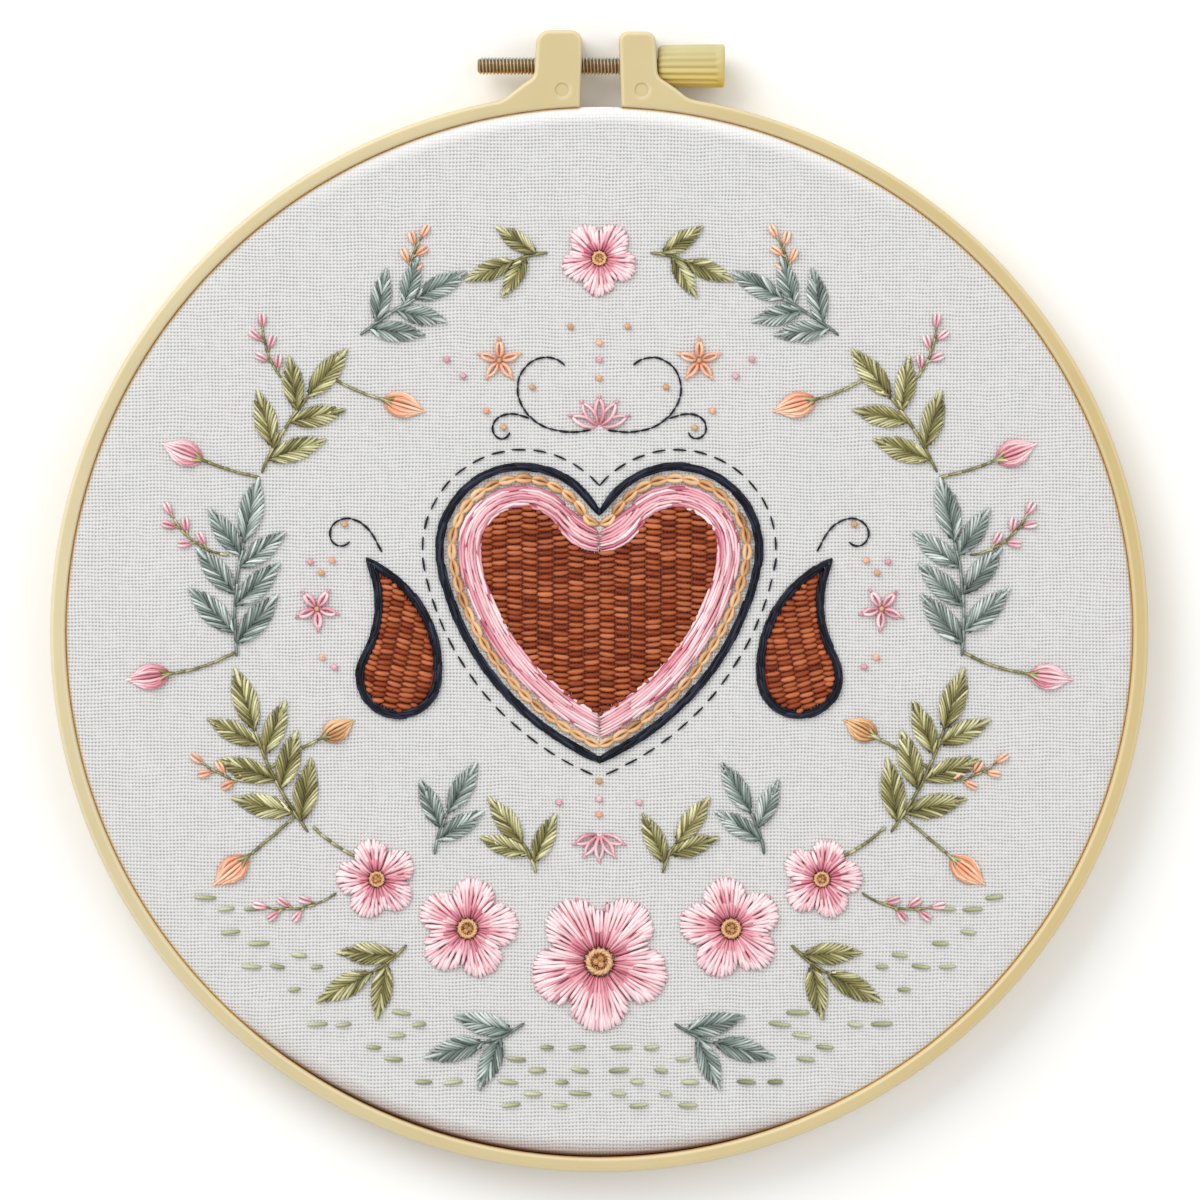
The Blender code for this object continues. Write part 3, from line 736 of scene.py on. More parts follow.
def screw_material(colour):
    """Bronze-coloured zinc plating with brown and yellow patches, a painted grey reflection along its top and a
    painted amber reflection along its underside, darker in the thread's roots.
    """
    material, tree, shader = new_material("screw_plating", Metallic=0.85, Roughness=0.34)
    place = object_place(tree)
    y = axes(tree, place)[1]
    patches, streaks = noise(tree, place, 330.0, 3.0, 0.6), noise(tree, place, 1900.0)
    across = vectors(tree, "MULTIPLY_ADD", place, (0.0, 1.0, 1.0), (0.0, -AXIS.y, -AXIS.z))
    out = vectors(tree, "LENGTH", across)
    shares = (
        (remap(tree, patches, 0.38, 0.62), PLATING_YELLOW),
        # Painted reflections: cool grey along the top, amber along the underside.
        (remap(tree, y, AXIS.y + 0.2 * MM, AXIS.y + 1.5 * MM, 0.0, 0.75), PLATING_PAINTED_COOL_REFLECTION),
        (remap(tree, y, AXIS.y - 1.5 * MM, AXIS.y - 0.9 * MM, 0.85, 0.0), PLATING_PAINTED_AMBER_REFLECTION),
        (remap(tree, streaks, 0.45, 0.75, 0.0, 0.4), PLATING_DULL),
        (remap(tree, out, SCREW_RADIUS - 0.32 * MM, SCREW_RADIUS - 0.04 * MM, 0.62, 0.0), THREAD_ROOT),
    )
    colour = tuple(colour)
    for share, tint in shares:
        colour = mix_colour(tree, share, colour, tint)
    fill(tree, shader, Base_Color=colour, Roughness=remap(tree, streaks, 0.3, 0.7, 0.26, 0.48))
    return material


def cloth_material(sizes):
    """Woven linen, with painted light where it turns up under the clamp, and painted shade where it sinks beside
    the hoop and in a golden line along most of the hoop.
    """
    material, tree, shader = new_material("woven_linen", Roughness=0.92, Specular_IOR_Level=0.2, Sheen_Weight=0.15)
    place = object_place(tree)
    woven = use_group(
        tree, woven_group(), Place=place, Pitch_Across=sizes.pitch_across, Pitch_Along=sizes.pitch_along
    )
    far, up, deep = on_ring(tree, place)
    x, _, z = axes(tree, place)
    edge = CLOTH_HIGH.x + CLOTH_SPARE

    def beside_hoop(first, last, share=1.0):
        return remap(tree, far, edge - first * MM, edge - last * MM, 0.0, share)

    warmer = remap(tree, woven.outputs["Yarn"], 0.0, 1.2, 0.0, 0.35)
    yarn = mix_colour(tree, warmer, tuple(sizes.colour), YARN_WARM)
    # Painted light: the cloth is made brighter, with fewer holes showing, where it turns up near the clamp.
    painted_light_share = times(tree, beside_hoop(3.0, 0.9), remap(tree, up, 77.0 * MM, 96.0 * MM, 0.0, 0.9))
    open_share = remap(tree, painted_light_share, 0.0, 1.0, 0.84, 0.10)
    colour = mix_colour(tree, times(tree, woven.outputs["Holes"], open_share), yarn, tuple(sizes.shade))
    in_sight = remap(tree, z, FRONT - 4.0 * MM, FRONT - 2.0 * MM)
    lower = times(tree, deep, in_sight)
    beside_gap = remap(tree, sums(tree, "ABSOLUTE", x), 3.4 * MM, 4.2 * MM)
    # Painted light and shade: the bright band near the clamp, a brown shade and a dark line where the cloth sinks
    # deepest, and a golden shade along most of the hoop.
    for share, tint in (
        (painted_light_share, CLOTH_PAINTED_LIGHT),
        (times(tree, beside_hoop(3.0, 0.5, 0.52), lower), CLOTH_PAINTED_SHADE),
        (times(tree, beside_hoop(0.30, 0.0, 0.85), times(tree, in_sight, beside_gap)), CLOTH_PAINTED_EDGE_SHADE),
        (times(tree, beside_hoop(0.75, 0.25, 0.85), lower), CLOTH_PAINTED_DARK_LINE),
    ):
        colour = mix_colour(tree, share, colour, tint)
    fuzz = times(tree, noise(tree, place, 5200.0), 0.25)
    height = sums(tree, "ADD", woven.outputs["Height"], fuzz)
    fill(tree, shader, Base_Color=colour, Normal=bump(tree, height, 0.2 * MM, 0.9))
    return material


class Floss(NamedTuple):
    """A thread colour in its shades, and the slot of the record that it belongs to, which is not used."""

    deep: tuple
    middle: tuple
    light: tuple
    slot: str
    shine: float = 0.5


FLOSSES = {
    "pink": Floss((0.40, 0.05, 0.10), (0.74, 0.29, 0.35), (0.96, 0.76, 0.78), "thread_pink"),
    "rust": Floss((0.085, 0.008, 0.001), (0.27, 0.045, 0.008), (0.58, 0.18, 0.070), "thread_rust", 0.22),
    "navy": Floss((0.002, 0.0025, 0.006), (0.006, 0.007, 0.014), (0.030, 0.035, 0.060), "thread_navy", 0.16),
    "gold": Floss((0.20, 0.065, 0.012), (0.60, 0.29, 0.10), (0.88, 0.58, 0.33), "thread_gold"),
    "olive": Floss((0.028, 0.020, 0.001), (0.21, 0.185, 0.045), (0.80, 0.77, 0.46), "thread_olive"),
    "sage": Floss((0.018, 0.028, 0.024), (0.17, 0.22, 0.20), (0.72, 0.79, 0.76), "thread_sage"),
    "peach": Floss((0.60, 0.17, 0.07), (0.88, 0.38, 0.22), (0.96, 0.68, 0.48), "thread_peach"),
    "seed": Floss((0.14, 0.15, 0.05), (0.36, 0.38, 0.19), (0.58, 0.60, 0.38), "thread_olive"),
}


@functools.cache
def floss(name):
    """The material of one thread colour, made when it is first asked for."""
    colours = FLOSSES[name]
    material, tree, shader = new_material(
        "floss_" + name, Roughness=0.40, Specular_IOR_Level=colours.shine, Sheen_Weight=0.4 * colours.shine,
        Sheen_Roughness=0.4,
    )
    laid = use_group(
        tree, shared_group(floss_group), Deep=colours.deep, Middle=colours.middle, Light=colours.light,
        Streaks=0.55,
    )
    fibres = laid.outputs["Fibres"]
    fill(
        tree, shader, Base_Color=laid.outputs["Color"], Roughness=remap(tree, fibres, 0.3, 0.7, 0.34, 0.52),
        Normal=bump(tree, fibres, 0.08 * MM, 0.6),
    )
    return material


# --- Modelling by operators ---------------------------------------------------------------------


def start_with(name, primitive, **sizes):
    """Adds a primitive as the only selected object, under its own name."""
    bpy.ops.object.select_all(action="DESELECT")
    primitive(**sizes)
    obj = bpy.context.object
    obj.name = obj.data.name = name
    return obj


def pick(obj, kind, test):
    """In edit mode, selects just the verts, edges or faces whose middle passes the test."""
    bpy.ops.mesh.select_mode(type={"verts": "VERT", "edges": "EDGE", "faces": "FACE"}[kind])
    bpy.ops.mesh.select_all(action="DESELECT")
    mesh = bmesh.from_edit_mesh(obj.data)
    for item in getattr(mesh, kind):
        corners = [item] if kind == "verts" else item.verts
        middle = sum((corner.co for corner in corners), Vector()) / len(corners)
        if test(middle, item):
            item.select_set(True)
    bmesh.update_edit_mesh(obj.data)


def on_whole(operator, **settings):
    """In edit mode, runs an operator on the whole mesh."""
    bpy.ops.mesh.select_all(action="SELECT")
    operator(**settings)


def level_change(edge):
    return abs(edge.verts[0].co.z - edge.verts[1].co.z)


def move_points(obj, place):
    """In edit mode, moves each point of the mesh to where place puts it."""
    mesh = bmesh.from_edit_mesh(obj.data)
    for point in mesh.verts:
        point.co = place(point.co)
    bmesh.update_edit_mesh(obj.data)


def apply_modifier(obj, kind, **settings):
    modifier = obj.modifiers.new(kind.lower(), kind)
    for name, value in settings.items():
        setattr(modifier, name, value)
    bpy.context.view_layer.objects.active = obj
    bpy.ops.object.modifier_apply(modifier=modifier.name)


def cut_round(obj, radius, start, end, sides):
    """Takes a round hole out of a piece, between two points."""
    turn = (end - start).to_track_quat("Z", "Y").to_euler()
    cutter = start_with(
        "cutter", bpy.ops.mesh.primitive_cylinder_add, vertices=sides, radius=radius,
        depth=(end - start).length, location=(start + end) / 2, rotation=turn,
    )
    apply_modifier(obj, "BOOLEAN", operation="DIFFERENCE", object=cutter, solver="EXACT")
    bpy.data.objects.remove(cutter)


def settle(obj, material, angle=35.0):
    """Applies the object's place to its mesh, shades it and gives it its material."""
    bpy.ops.object.select_all(action="DESELECT")
    obj.select_set(True)
    bpy.context.view_layer.objects.active = obj
    bpy.ops.object.transform_apply(location=True, rotation=True, scale=True)
    bpy.ops.object.shade_smooth_by_angle(angle=math.radians(angle))
    obj.data.materials.clear()
    obj.data.materials.append(material)


# --- Hoops and clamp ----------------------------------------------------------------------------


def grow_lug(obj, foot, outer, inner):
    """Draws one lug's outline up from the ring's outer edge, between its foot and its inner face."""
    side = 1.0 if foot > 0.0 else -1.0
    ring_y = RING_RADIUS * OVAL

    def on_outer_edge(middle, item):
        far = math.hypot(middle.x, middle.y / OVAL)
        return item.is_boundary and far > RING_RADIUS - 0.4 * RING_RIM and middle.y > 0

    def below_lug(middle, edge):
        return on_outer_edge(middle, edge) and inner * side < middle.x * side < foot * side

    pick(obj, "edges", below_lug)
    bpy.ops.mesh.extrude_region_move()
    mesh = bmesh.from_edit_mesh(obj.data)
    for point in [v for v in mesh.verts if v.select]:
        share = min(1.0, (foot - point.co.x) / (foot - outer))
        point.co.y += (LUG_SHOULDER - point.co.y) * share
    bmesh.update_edit_mesh(obj.data)

    def beside_foot(middle, point):
        return on_outer_edge(middle, point) and 0.05 * MM < (foot - middle.x) * side < 1.2 * MM

    pick(obj, "verts", beside_foot)
    bpy.ops.mesh.dissolve_verts()

    def on_shoulder(middle, edge):
        level = all(abs(v.co.y - LUG_SHOULDER) < NEAR for v in edge.verts)
        return level and inner * side - NEAR < middle.x * side < outer * side + NEAR

    pick(obj, "edges", on_shoulder)
    bpy.ops.mesh.extrude_region_move(TRANSFORM_OT_translate={"value": (0.0, LUG_TOP - LUG_SHOULDER, 0.0)})
    lean = side * LUG_DRAFT

    def lean_in(co):
        near = co.x * side < (inner * side + 0.3 * MM) and co.x * side > 0.5 * inner * side
        if co.y > ring_y - RING_RIM - 0.5 * MM and near:
            co.x -= lean * max(0.0, co.y - ring_y + RING_RIM) / (LUG_TOP - ring_y + RING_RIM)
        elif co.y > LUG_SHOULDER - 0.1 * MM and abs(co.x - outer) < 0.1 * MM:
            co.x -= lean * ((co.y - LUG_SHOULDER) / (LUG_TOP - LUG_SHOULDER) - 0.5)
        if side > 0.0 and co.x > 0.0 and co.y > LUG_TOP - NEAR:
            co.y -= RIGHT_LUG_LOWER
        return co

    def inside_top(middle, vert):
        return middle.y > LUG_TOP - NEAR and inner * side + MM < middle.x * side < outer * side - 0.1 * MM

    pick(obj, "verts", inside_top)
    bpy.ops.mesh.dissolve_verts()
    move_points(obj, lean_in)


def make_outer_hoop(sizes, material):
    """The split ring with its two lugs: a flat outline that is drawn, thickened, rounded and bored."""
    hoop = start_with(
        "split_hoop", bpy.ops.mesh.primitive_circle_add, vertices=RING_STEPS, radius=WALL, fill_type="NOTHING"
    )
    bpy.ops.object.mode_set(mode="EDIT")
    on_whole(bpy.ops.mesh.extrude_region_move)
    grown = RING_RADIUS / WALL
    bpy.ops.transform.resize(value=(grown, grown, 1.0), center_override=(0.0, 0.0, 0.0))
    on_whole(bpy.ops.transform.resize, value=(1.0, OVAL, 1.0), center_override=(0.0, 0.0, 0.0))
    for x in (*LEFT_LUG, *RIGHT_LUG):
        pick(hoop, "faces", lambda middle, face: middle.y > 0 and abs(middle.x) < CLAMP_REACH)
        bpy.ops.mesh.bisect(plane_co=(x, 0.0, 0.0), plane_no=ALONG_SCREW, threshold=0.001 * MM)
    pick(hoop, "faces", lambda middle, face: middle.y > 0 and LEFT_LUG[2] < middle.x < RIGHT_LUG[2])
    bpy.ops.mesh.delete(type="FACE")
    grow_lug(hoop, *LEFT_LUG)
    grow_lug(hoop, *RIGHT_LUG)
    on_whole(bpy.ops.mesh.remove_doubles, threshold=WELD)
    on_whole(bpy.ops.mesh.normals_make_consistent, inside=False)
    bpy.ops.mesh.dissolve_degenerate(threshold=WELD)
    bpy.ops.object.mode_set(mode="OBJECT")
    hoop.location = (0.0, HOOP_Y, RING_DEPTH / 2)
    apply_modifier(hoop, "SOLIDIFY", thickness=RING_DEPTH, offset=0.0)
    bpy.ops.object.mode_set(mode="EDIT")
    on_whole(bpy.ops.mesh.remove_doubles, threshold=0.08 * MM)
    bpy.ops.mesh.dissolve_limited(angle_limit=math.radians(0.4))
    for side, radius in ((-1, LEFT_CORNER), (1, RIGHT_CORNER)):

        def lug_corner(middle, edge):
            upright = level_change(edge) > 0.5 * RING_DEPTH
            high = middle.y > LUG_TOP - RIGHT_LUG_LOWER - NEAR
            return upright and high and middle.x * side > 0.0 and edge.calc_face_angle(0.0) > 1.0

        pick(hoop, "edges", lug_corner)
        bpy.ops.mesh.bevel(offset=radius, segments=8, affect="EDGES")

    def soft_bend(middle, edge):
        upright = level_change(edge) > 0.5 * RING_DEPTH
        bent = 0.3 < abs(edge.calc_face_angle_signed(0.0)) < 1.2
        return upright and bent and LUG_SHOULDER - 6.0 * MM < middle.y < LUG_SHOULDER + 0.1 * MM

    pick(hoop, "edges", soft_bend)
    bpy.ops.mesh.bevel(offset=BEND_RADIUS, segments=5, affect="EDGES")

    def face_outline(middle, edge):
        return level_change(edge) < NEAR and edge.calc_face_angle(0.0) > math.radians(50)

    pick(hoop, "edges", face_outline)
    bpy.ops.mesh.bevel(offset=sizes.edge, segments=4, affect="EDGES", clamp_overlap=False)
    bpy.ops.object.mode_set(mode="OBJECT")
    bpy.ops.object.select_all(action="DESELECT")
    hoop.select_set(True)
    bpy.ops.object.transform_apply(location=True, rotation=True, scale=True)
    for radius, first, last, sides in (
        (SCREW_RADIUS, LEFT_LUG[1] - 10.0 * MM, RIGHT_LUG[1] + 2.0 * MM, SCREW_BORE_SIDES),
        (KNOB_RADIUS, KNOB_LOW.x - 0.1 * MM, KNOB_LOW.x + 12.9 * MM, KNOB_BORE_SIDES),
    ):
        cut_round(hoop, radius + GAP, AXIS + ALONG_SCREW * first, AXIS + ALONG_SCREW * last, sides)
    for x, y in LUG_MARKS:
        foot = Vector((x, HOOP_Y + y, RING_DEPTH - MARK_DEPTH))
        cut_round(hoop, MARK_RADIUS, foot, foot + Vector((0.0, 0.0, 2.0 * MM)), SCREW_BORE_SIDES)
    settle(hoop, material)
    apply_modifier(hoop, "WEIGHTED_NORMAL", keep_sharp=True)
    return finish_piece(hoop, HOOP_BODY, ["outer_hoop"])


def make_inner_hoop(sizes, material):
    """A plain moulded band: its section spun round the hoop's axis."""
    outer, inner = INNER_HIGH.x + 0.2 * MM, INNER_HIGH.x - BAND_RIM
    band = start_with("inner_band", bpy.ops.mesh.primitive_plane_add, size=1.0)
    bpy.ops.object.mode_set(mode="EDIT")
    tall = INNER_HIGH.z - INNER_LOW.z
    middle = Vector(((outer + inner) / 2, 0.0, (INNER_HIGH.z + INNER_LOW.z) / 2))
    move_points(band, lambda co: middle + Vector((co.x * (outer - inner), 0.0, co.y * tall)))
    bpy.ops.mesh.select_mode(type="VERT")
    on_whole(bpy.ops.mesh.bevel, offset=sizes.edge, segments=3, affect="VERTICES")
    on_whole(bpy.ops.mesh.delete, type="ONLY_FACE")
    on_whole(bpy.ops.mesh.spin, steps=RING_STEPS, angle=math.tau, center=(0.0, 0.0, 0.0), axis=(0.0, 0.0, 1.0))
    on_whole(bpy.ops.mesh.remove_doubles, threshold=WELD)
    bpy.ops.mesh.normals_make_consistent(inside=False)
    bpy.ops.object.mode_set(mode="OBJECT")
    band.scale.y = OVAL
    band.location.y = HOOP_Y
    settle(band, material)
    return finish_piece(band, HOOP_BODY, ["inner_hoop"])


def make_screw(sizes, material):
    """The threaded rod: one pitch of its section, wound along the axis, then cut off and chamfered."""
    start, end = SCREW_LOW.x, SCREW_HIGH.x
    pitch, root = sizes.thread_pitch, SCREW_RADIUS - sizes.thread_depth
    profile = [(0.0, root), (0.06, root), (0.32, SCREW_RADIUS), (0.68, SCREW_RADIUS), (0.94, root), (1.0, root)]
    rod = start_with(
        "threaded_rod", bpy.ops.mesh.primitive_circle_add, vertices=len(profile), radius=1.0, fill_type="NOTHING"
    )
    bpy.ops.object.mode_set(mode="EDIT")
    mesh = bmesh.from_edit_mesh(rod.data)
    mesh.verts.ensure_lookup_table()
    for point, (share, radius) in zip(mesh.verts, profile):
        point.co = (share * pitch, 0.0, radius)
    closing = next(e for e in mesh.edges if {v.index for v in e.verts} == {0, len(profile) - 1})
    mesh.edges.remove(closing)
    bmesh.update_edit_mesh(rod.data)
    bpy.ops.object.mode_set(mode="OBJECT")
    turns = math.ceil((end - start) / pitch) + 2
    apply_modifier(
        rod, "SCREW", axis="X", angle=math.tau, screw_offset=pitch, iterations=turns, steps=SCREW_STEPS,
        render_steps=SCREW_STEPS, use_merge_vertices=False,
    )
    bpy.ops.object.mode_set(mode="EDIT")
    on_whole(bpy.ops.mesh.remove_doubles, threshold=0.004 * MM)
    first = 1.013 * pitch
    for x, outside in ((first, {"clear_inner": True}), (first + end - start, {"clear_outer": True})):
        on_whole(
            bpy.ops.mesh.bisect, plane_co=(x, 0.0, 0.0), plane_no=ALONG_SCREW, use_fill=True,
            threshold=0.0005 * MM, **outside,
        )

    def chamfered(co):
        reach = root - SCREW_CHAMFER / 2 + min(co.x - first, first + end - start - co.x)
        radius = math.hypot(co.y, co.z)
        if radius > reach > 0.0:
            co.y, co.z = co.y * reach / radius, co.z * reach / radius
        return co

    move_points(rod, chamfered)
    on_whole(bpy.ops.mesh.normals_make_consistent, inside=False)
    bpy.ops.object.mode_set(mode="OBJECT")
    rod.location = (start - first, AXIS.y, AXIS.z)
    settle(rod, material, 30.0)
    return finish_piece(rod, SCREW_BODY, ["clamp_screw"])


def make_knob(sizes, material):
    """The fluted knob: a fluted ring drawn out along the axis, narrower at both ends, closed and bored."""
    length = KNOB_HIGH.x - KNOB_LOW.x
    knob = start_with(
        "fluted_knob", bpy.ops.mesh.primitive_circle_add, vertices=8 * sizes.flutes, radius=KNOB_RADIUS,
        fill_type="NOTHING",
    )
    bpy.ops.object.mode_set(mode="EDIT")
    bpy.ops.mesh.select_all(action="SELECT")
    turns = np.radians([0, 22.5, 45, 67.5, 90])
    near_end, far_end = (
        [(edge * (1 - math.cos(a)), edge * (1 - math.sin(a))) for a in turns]
        for edge in (KNOB_NEAR_EDGE, KNOB_FAR_EDGE)
    )
    stations = [(far, inset + KNOB_TAPER) for far, inset in near_end]
    stations += [(length - far * MM, 0.02 * MM) for far in KNOB_RINGS]
    stations += [(length - far, inset) for far, inset in reversed(far_end)]
    start = 1.0 - stations[0][1] / KNOB_RADIUS
    bpy.ops.transform.resize(value=(start, start, 1.0), center_override=(0.0, 0.0, 0.0))
    for (before, was), (far, inset) in zip(stations, stations[1:]):
        bpy.ops.mesh.extrude_region_move(TRANSFORM_OT_translate={"value": (0.0, 0.0, far - before)})
        wider = (KNOB_RADIUS - inset) / (KNOB_RADIUS - was)
        bpy.ops.transform.resize(value=(wider, wider, 1.0), center_override=(0.0, 0.0, far))

    def fluted(co):
        wave = 0.5 - 0.5 * math.cos(sizes.flutes * math.atan2(co.y, co.x))
        fading = min(1.0, max(0.0, (length - KNOB_COLLAR - co.z) / KNOB_FADE))
        narrower = 1.0 - sizes.flute_depth * fading / KNOB_RADIUS * wave**1.5
        return Vector((co.x * narrower, co.y * narrower, co.z))

    move_points(knob, fluted)
    for end in (0.0, length):
        pick(knob, "edges", lambda middle, edge: abs(middle.z - end) < NEAR)
        bpy.ops.mesh.edge_face_add()
    on_whole(bpy.ops.mesh.normals_make_consistent, inside=False)
    bpy.ops.object.mode_set(mode="OBJECT")
    knob.rotation_euler.y = math.radians(90.0)
    knob.location = (KNOB_LOW.x, AXIS.y, AXIS.z)
    bpy.ops.object.transform_apply(location=True, rotation=True, scale=True)
    first, last = (AXIS + ALONG_SCREW * x for x in (KNOB_LOW.x - 1.0 * MM, SCREW_HIGH.x + GAP))
    cut_round(knob, SCREW_RADIUS + GAP, first, last, SCREW_BORE_SIDES)
    settle(knob, material, 30.0)
    return finish_piece(knob, SCREW_BODY, ["clamp_knob"])


# --- Cloth --------------------------------------------------------------------------------------

CLOTH_ROLL = 3.4 * MM
CLOTH_ROUND = 360
CLOTH_RINGS = 60
ROLL_ANGLES = (78.0, 66.0, 54.0, 42.0, 30.0, 18.0, 8.0, 0.0)
SKIRT_ROWS = 6
TRIM_ABOVE = 0.4 * MM
SNUG = 0.15 * MM  # how much wider it lies where it is level with the outer hoop
GATHER_DEPTH = 0.38 * MM
RAGGED = 0.22 * MM
PULLED_FROM = 0.82
TENSION_DEPTH = 0.045 * MM
SETTLING = 0.05 * MM
SETTLING_WAVES = (19.0 * MM, 23.0 * MM)


def make_cloth(sizes, material):
    """One sheet, tight across the front, rolled over the inner hoop and gathered down between the hoops."""
    outer = CLOTH_HIGH.x + CLOTH_SPARE
    flat = outer - CLOTH_ROLL
    rows = [(flat * (i + 1) / CLOTH_RINGS, 0.0, 0.0) for i in range(CLOTH_RINGS)]
    rows += [(flat + CLOTH_ROLL * math.cos(a), 1 - math.sin(a), 0.0) for a in np.radians(ROLL_ANGLES)]
    rows += [(outer, 1.0, share) for share in np.linspace(0.0, 1.0, SKIRT_ROWS + 1)[1:]]
    radius, rolled, gather = np.array(rows).T[:, :, None]
    round_hoop = np.linspace(0.0, math.tau, CLOTH_ROUND, endpoint=False)
    deep = np.interp(np.cos(round_hoop - math.radians(DEEP_HEADING)), DEEP_COSINES, (0.0, 1.0))
    deep = deep * deep * (3 - 2 * deep)
    height = FRONT - (SHALLOW_DROP + (DEEP_DROP - SHALLOW_DROP) * deep) * rolled
    height = height + (CLOTH_LOW.z + TRIM_ABOVE - height) * gather
    snug = np.clip(2 * rolled - 1, 0.0, 1.0) * (1 - gather) ** 3 * (1 - deep)
    radius = radius + SNUG * snug
    waves = 0.5 + 0.3 * np.sin(61 * round_hoop + 1.3 * np.sin(5 * round_hoop)) + 0.2 * np.sin(37 * round_hoop)
    pulled = (radius / outer - PULLED_FROM) / (1 - PULLED_FROM)
    pull = np.clip(pulled, 0.0, 1.0) ** 2 * (gather == 0.0)
    radius = radius - GATHER_DEPTH * gather**0.7 * waves
    ragged = RAGGED * np.sin(23 * round_hoop + 2.0 * np.sin(7 * round_hoop)) * (gather == 1.0)
    x, y = radius * np.cos(round_hoop), radius * np.sin(round_hoop)
    settled = SETTLING * (np.sin(x / SETTLING_WAVES[0] + 1.1) * np.cos(y / SETTLING_WAVES[1]) - 1)
    tension = TENSION_DEPTH * np.sin(47 * round_hoop + 2.0 * np.sin(3 * round_hoop)) * pull
    z = height + settled * (gather == 0.0) + tension + ragged
    points = np.stack([x, y * OVAL + HOOP_Y, z], axis=-1).reshape(-1, 3)
    points = np.vstack([[0.0, HOOP_Y, FRONT + settled[0].mean()], points])
    ring = 1 + np.arange(len(rows) * CLOTH_ROUND).reshape(len(rows), CLOTH_ROUND)
    after = np.roll(ring, -1, axis=1)
    quads = np.stack([ring[:-1], ring[1:], after[1:], after[:-1]], axis=-1).reshape(-1, 4).tolist()
    fan = np.stack([np.zeros(CLOTH_ROUND, int), ring[0], after[0]], axis=-1).tolist()
    mesh = bpy.data.meshes.new("stretched_cloth")
    mesh.from_pydata(points.tolist(), [], fan + quads)
    obj = add_object("stretched_cloth", mesh)
    apply_modifier(obj, "SOLIDIFY", thickness=sizes.thickness, offset=-1.0)
    settle(obj, material, 50.0)
    finish_piece(obj, HOOP_BODY, ["cloth"])
    return obj


# --- Motifs: the same tables as the solids of the frame -----------------------------------------

HEART_MIDDLE = np.array([0.0, 15.0]) * MM
HEART_LOBE = 16.0 * MM
HEART_SPREAD = 14.0 * MM
HEART_SIDE = 50.0 * MM
HEART_SIDE_FROM = -12.0

PAISLEY_MIDDLE = np.array([36.5, -8.0]) * MM
PAISLEY_BODY = 8.0 * MM
PAISLEY_BACK = 22.0 * MM
PAISLEY_BACK_FROM = 185.0
PAISLEY_HOLLOW = 18.0 * MM
PAISLEY_HOLLOW_FROM = 30.0

PETALS = 5
PETAL_ROOT = 0.62
PETAL_FULLNESS = 0.55
KNOT_SHARE = 0.2

LEAF_SLIMNESS = 0.38
LEAF_SPREAD = 44.0
LEAF_TAPER = 0.15
LEFT_LEAVES_FROM = 0.32
RIGHT_LEAVES_FROM = 0.62


class Blossom(NamedTuple):
    """A five-petalled blossom: its middle and its width in millimetres, and its turn in degrees."""

    name: str
    x: float
    y: float
    width: float
    turn: float
    paired: bool


BLOSSOMS = (
    Blossom("blossom_large", 0.0, -60.0, 26.0, 90.0, False),
    Blossom("blossom_middle", 24.0, -54.0, 19.0, 65.0, True),
    Blossom("blossom_small", 40.5, -45.0, 15.0, 40.0, True),
    Blossom("blossom_top", 0.0, 68.0, 14.0, 90.0, False),
)


class Sprig(NamedTuple):
    """A stem with leaves on both sides and one at its tip, in millimetres and degrees.
    The stem leaves its foot at heading, and bends by turn over its length."""

    name: str
    thread: str
    x: float
    y: float
    heading: float
    length: float
    turn: float
    leaves_a_side: int
    leaf: float


SPRIGS = (
    Sprig("vine_low", "olive", 53.0, -36.5, 53.0, 21.0, 19.0, 3, 12.0),
    Sprig("vine_middle", "sage", 66.0, -4.5, 84.0, 21.0, 19.0, 3, 12.0),
    Sprig("vine_high", "olive", 61.5, 29.0, 114.0, 16.0, 15.0, 2, 11.5),
    Sprig("vine_end", "sage", 43.5, 54.0, 140.5, 12.0, 12.0, 2, 10.5),
    Sprig("spray_low", "sage", 13.6, -71.2, -38.0, 8.0, 24.0, 1, 11.5),
    Sprig("spray_side", "olive", 35.0, -57.0, -48.0, 8.0, 20.0, 1, 11.5),
    Sprig("spray_inner", "olive", 11.5, -44.0, 78.0, 6.0, -24.0, 1, 10.5),
    Sprig("spray_heart", "sage", 30.0, -40.5, 96.0, 8.0, 24.0, 1, 10.5),
    Sprig("spray_top", "olive", 9.3, 69.0, -4.0, 6.5, -18.0, 1, 9.5),
)


class Bud(NamedTuple):
    """A closed bud, from its foot towards its heading, in millimetres and degrees."""

    name: str
    thread: str
    x: float
    y: float
    heading: float
    length: float
    width: float


BUDS = (
    Bud("bud_low", "peach", 63.5, -40.5, -40.0, 9.0, 4.0),
    Bud("bud_side", "pink", 77.5, -7.5, -8.0, 9.0, 4.0),
    Bud("bud_inner", "gold", 51.0, -19.5, 152.0, 7.5, 3.6),
    Bud("bud_high", "pink", 71.5, 31.0, 22.0, 9.0, 4.0),
    Bud("bud_end", "peach", 40.0, 42.5, 196.0, 9.0, 4.0),
)


def node_names(name, paired):
    return [f"{name}_{side}" for side in ("right", "left")] if paired else [name]


def mirrors(paired):
    return (1, -1) if paired else (1,)


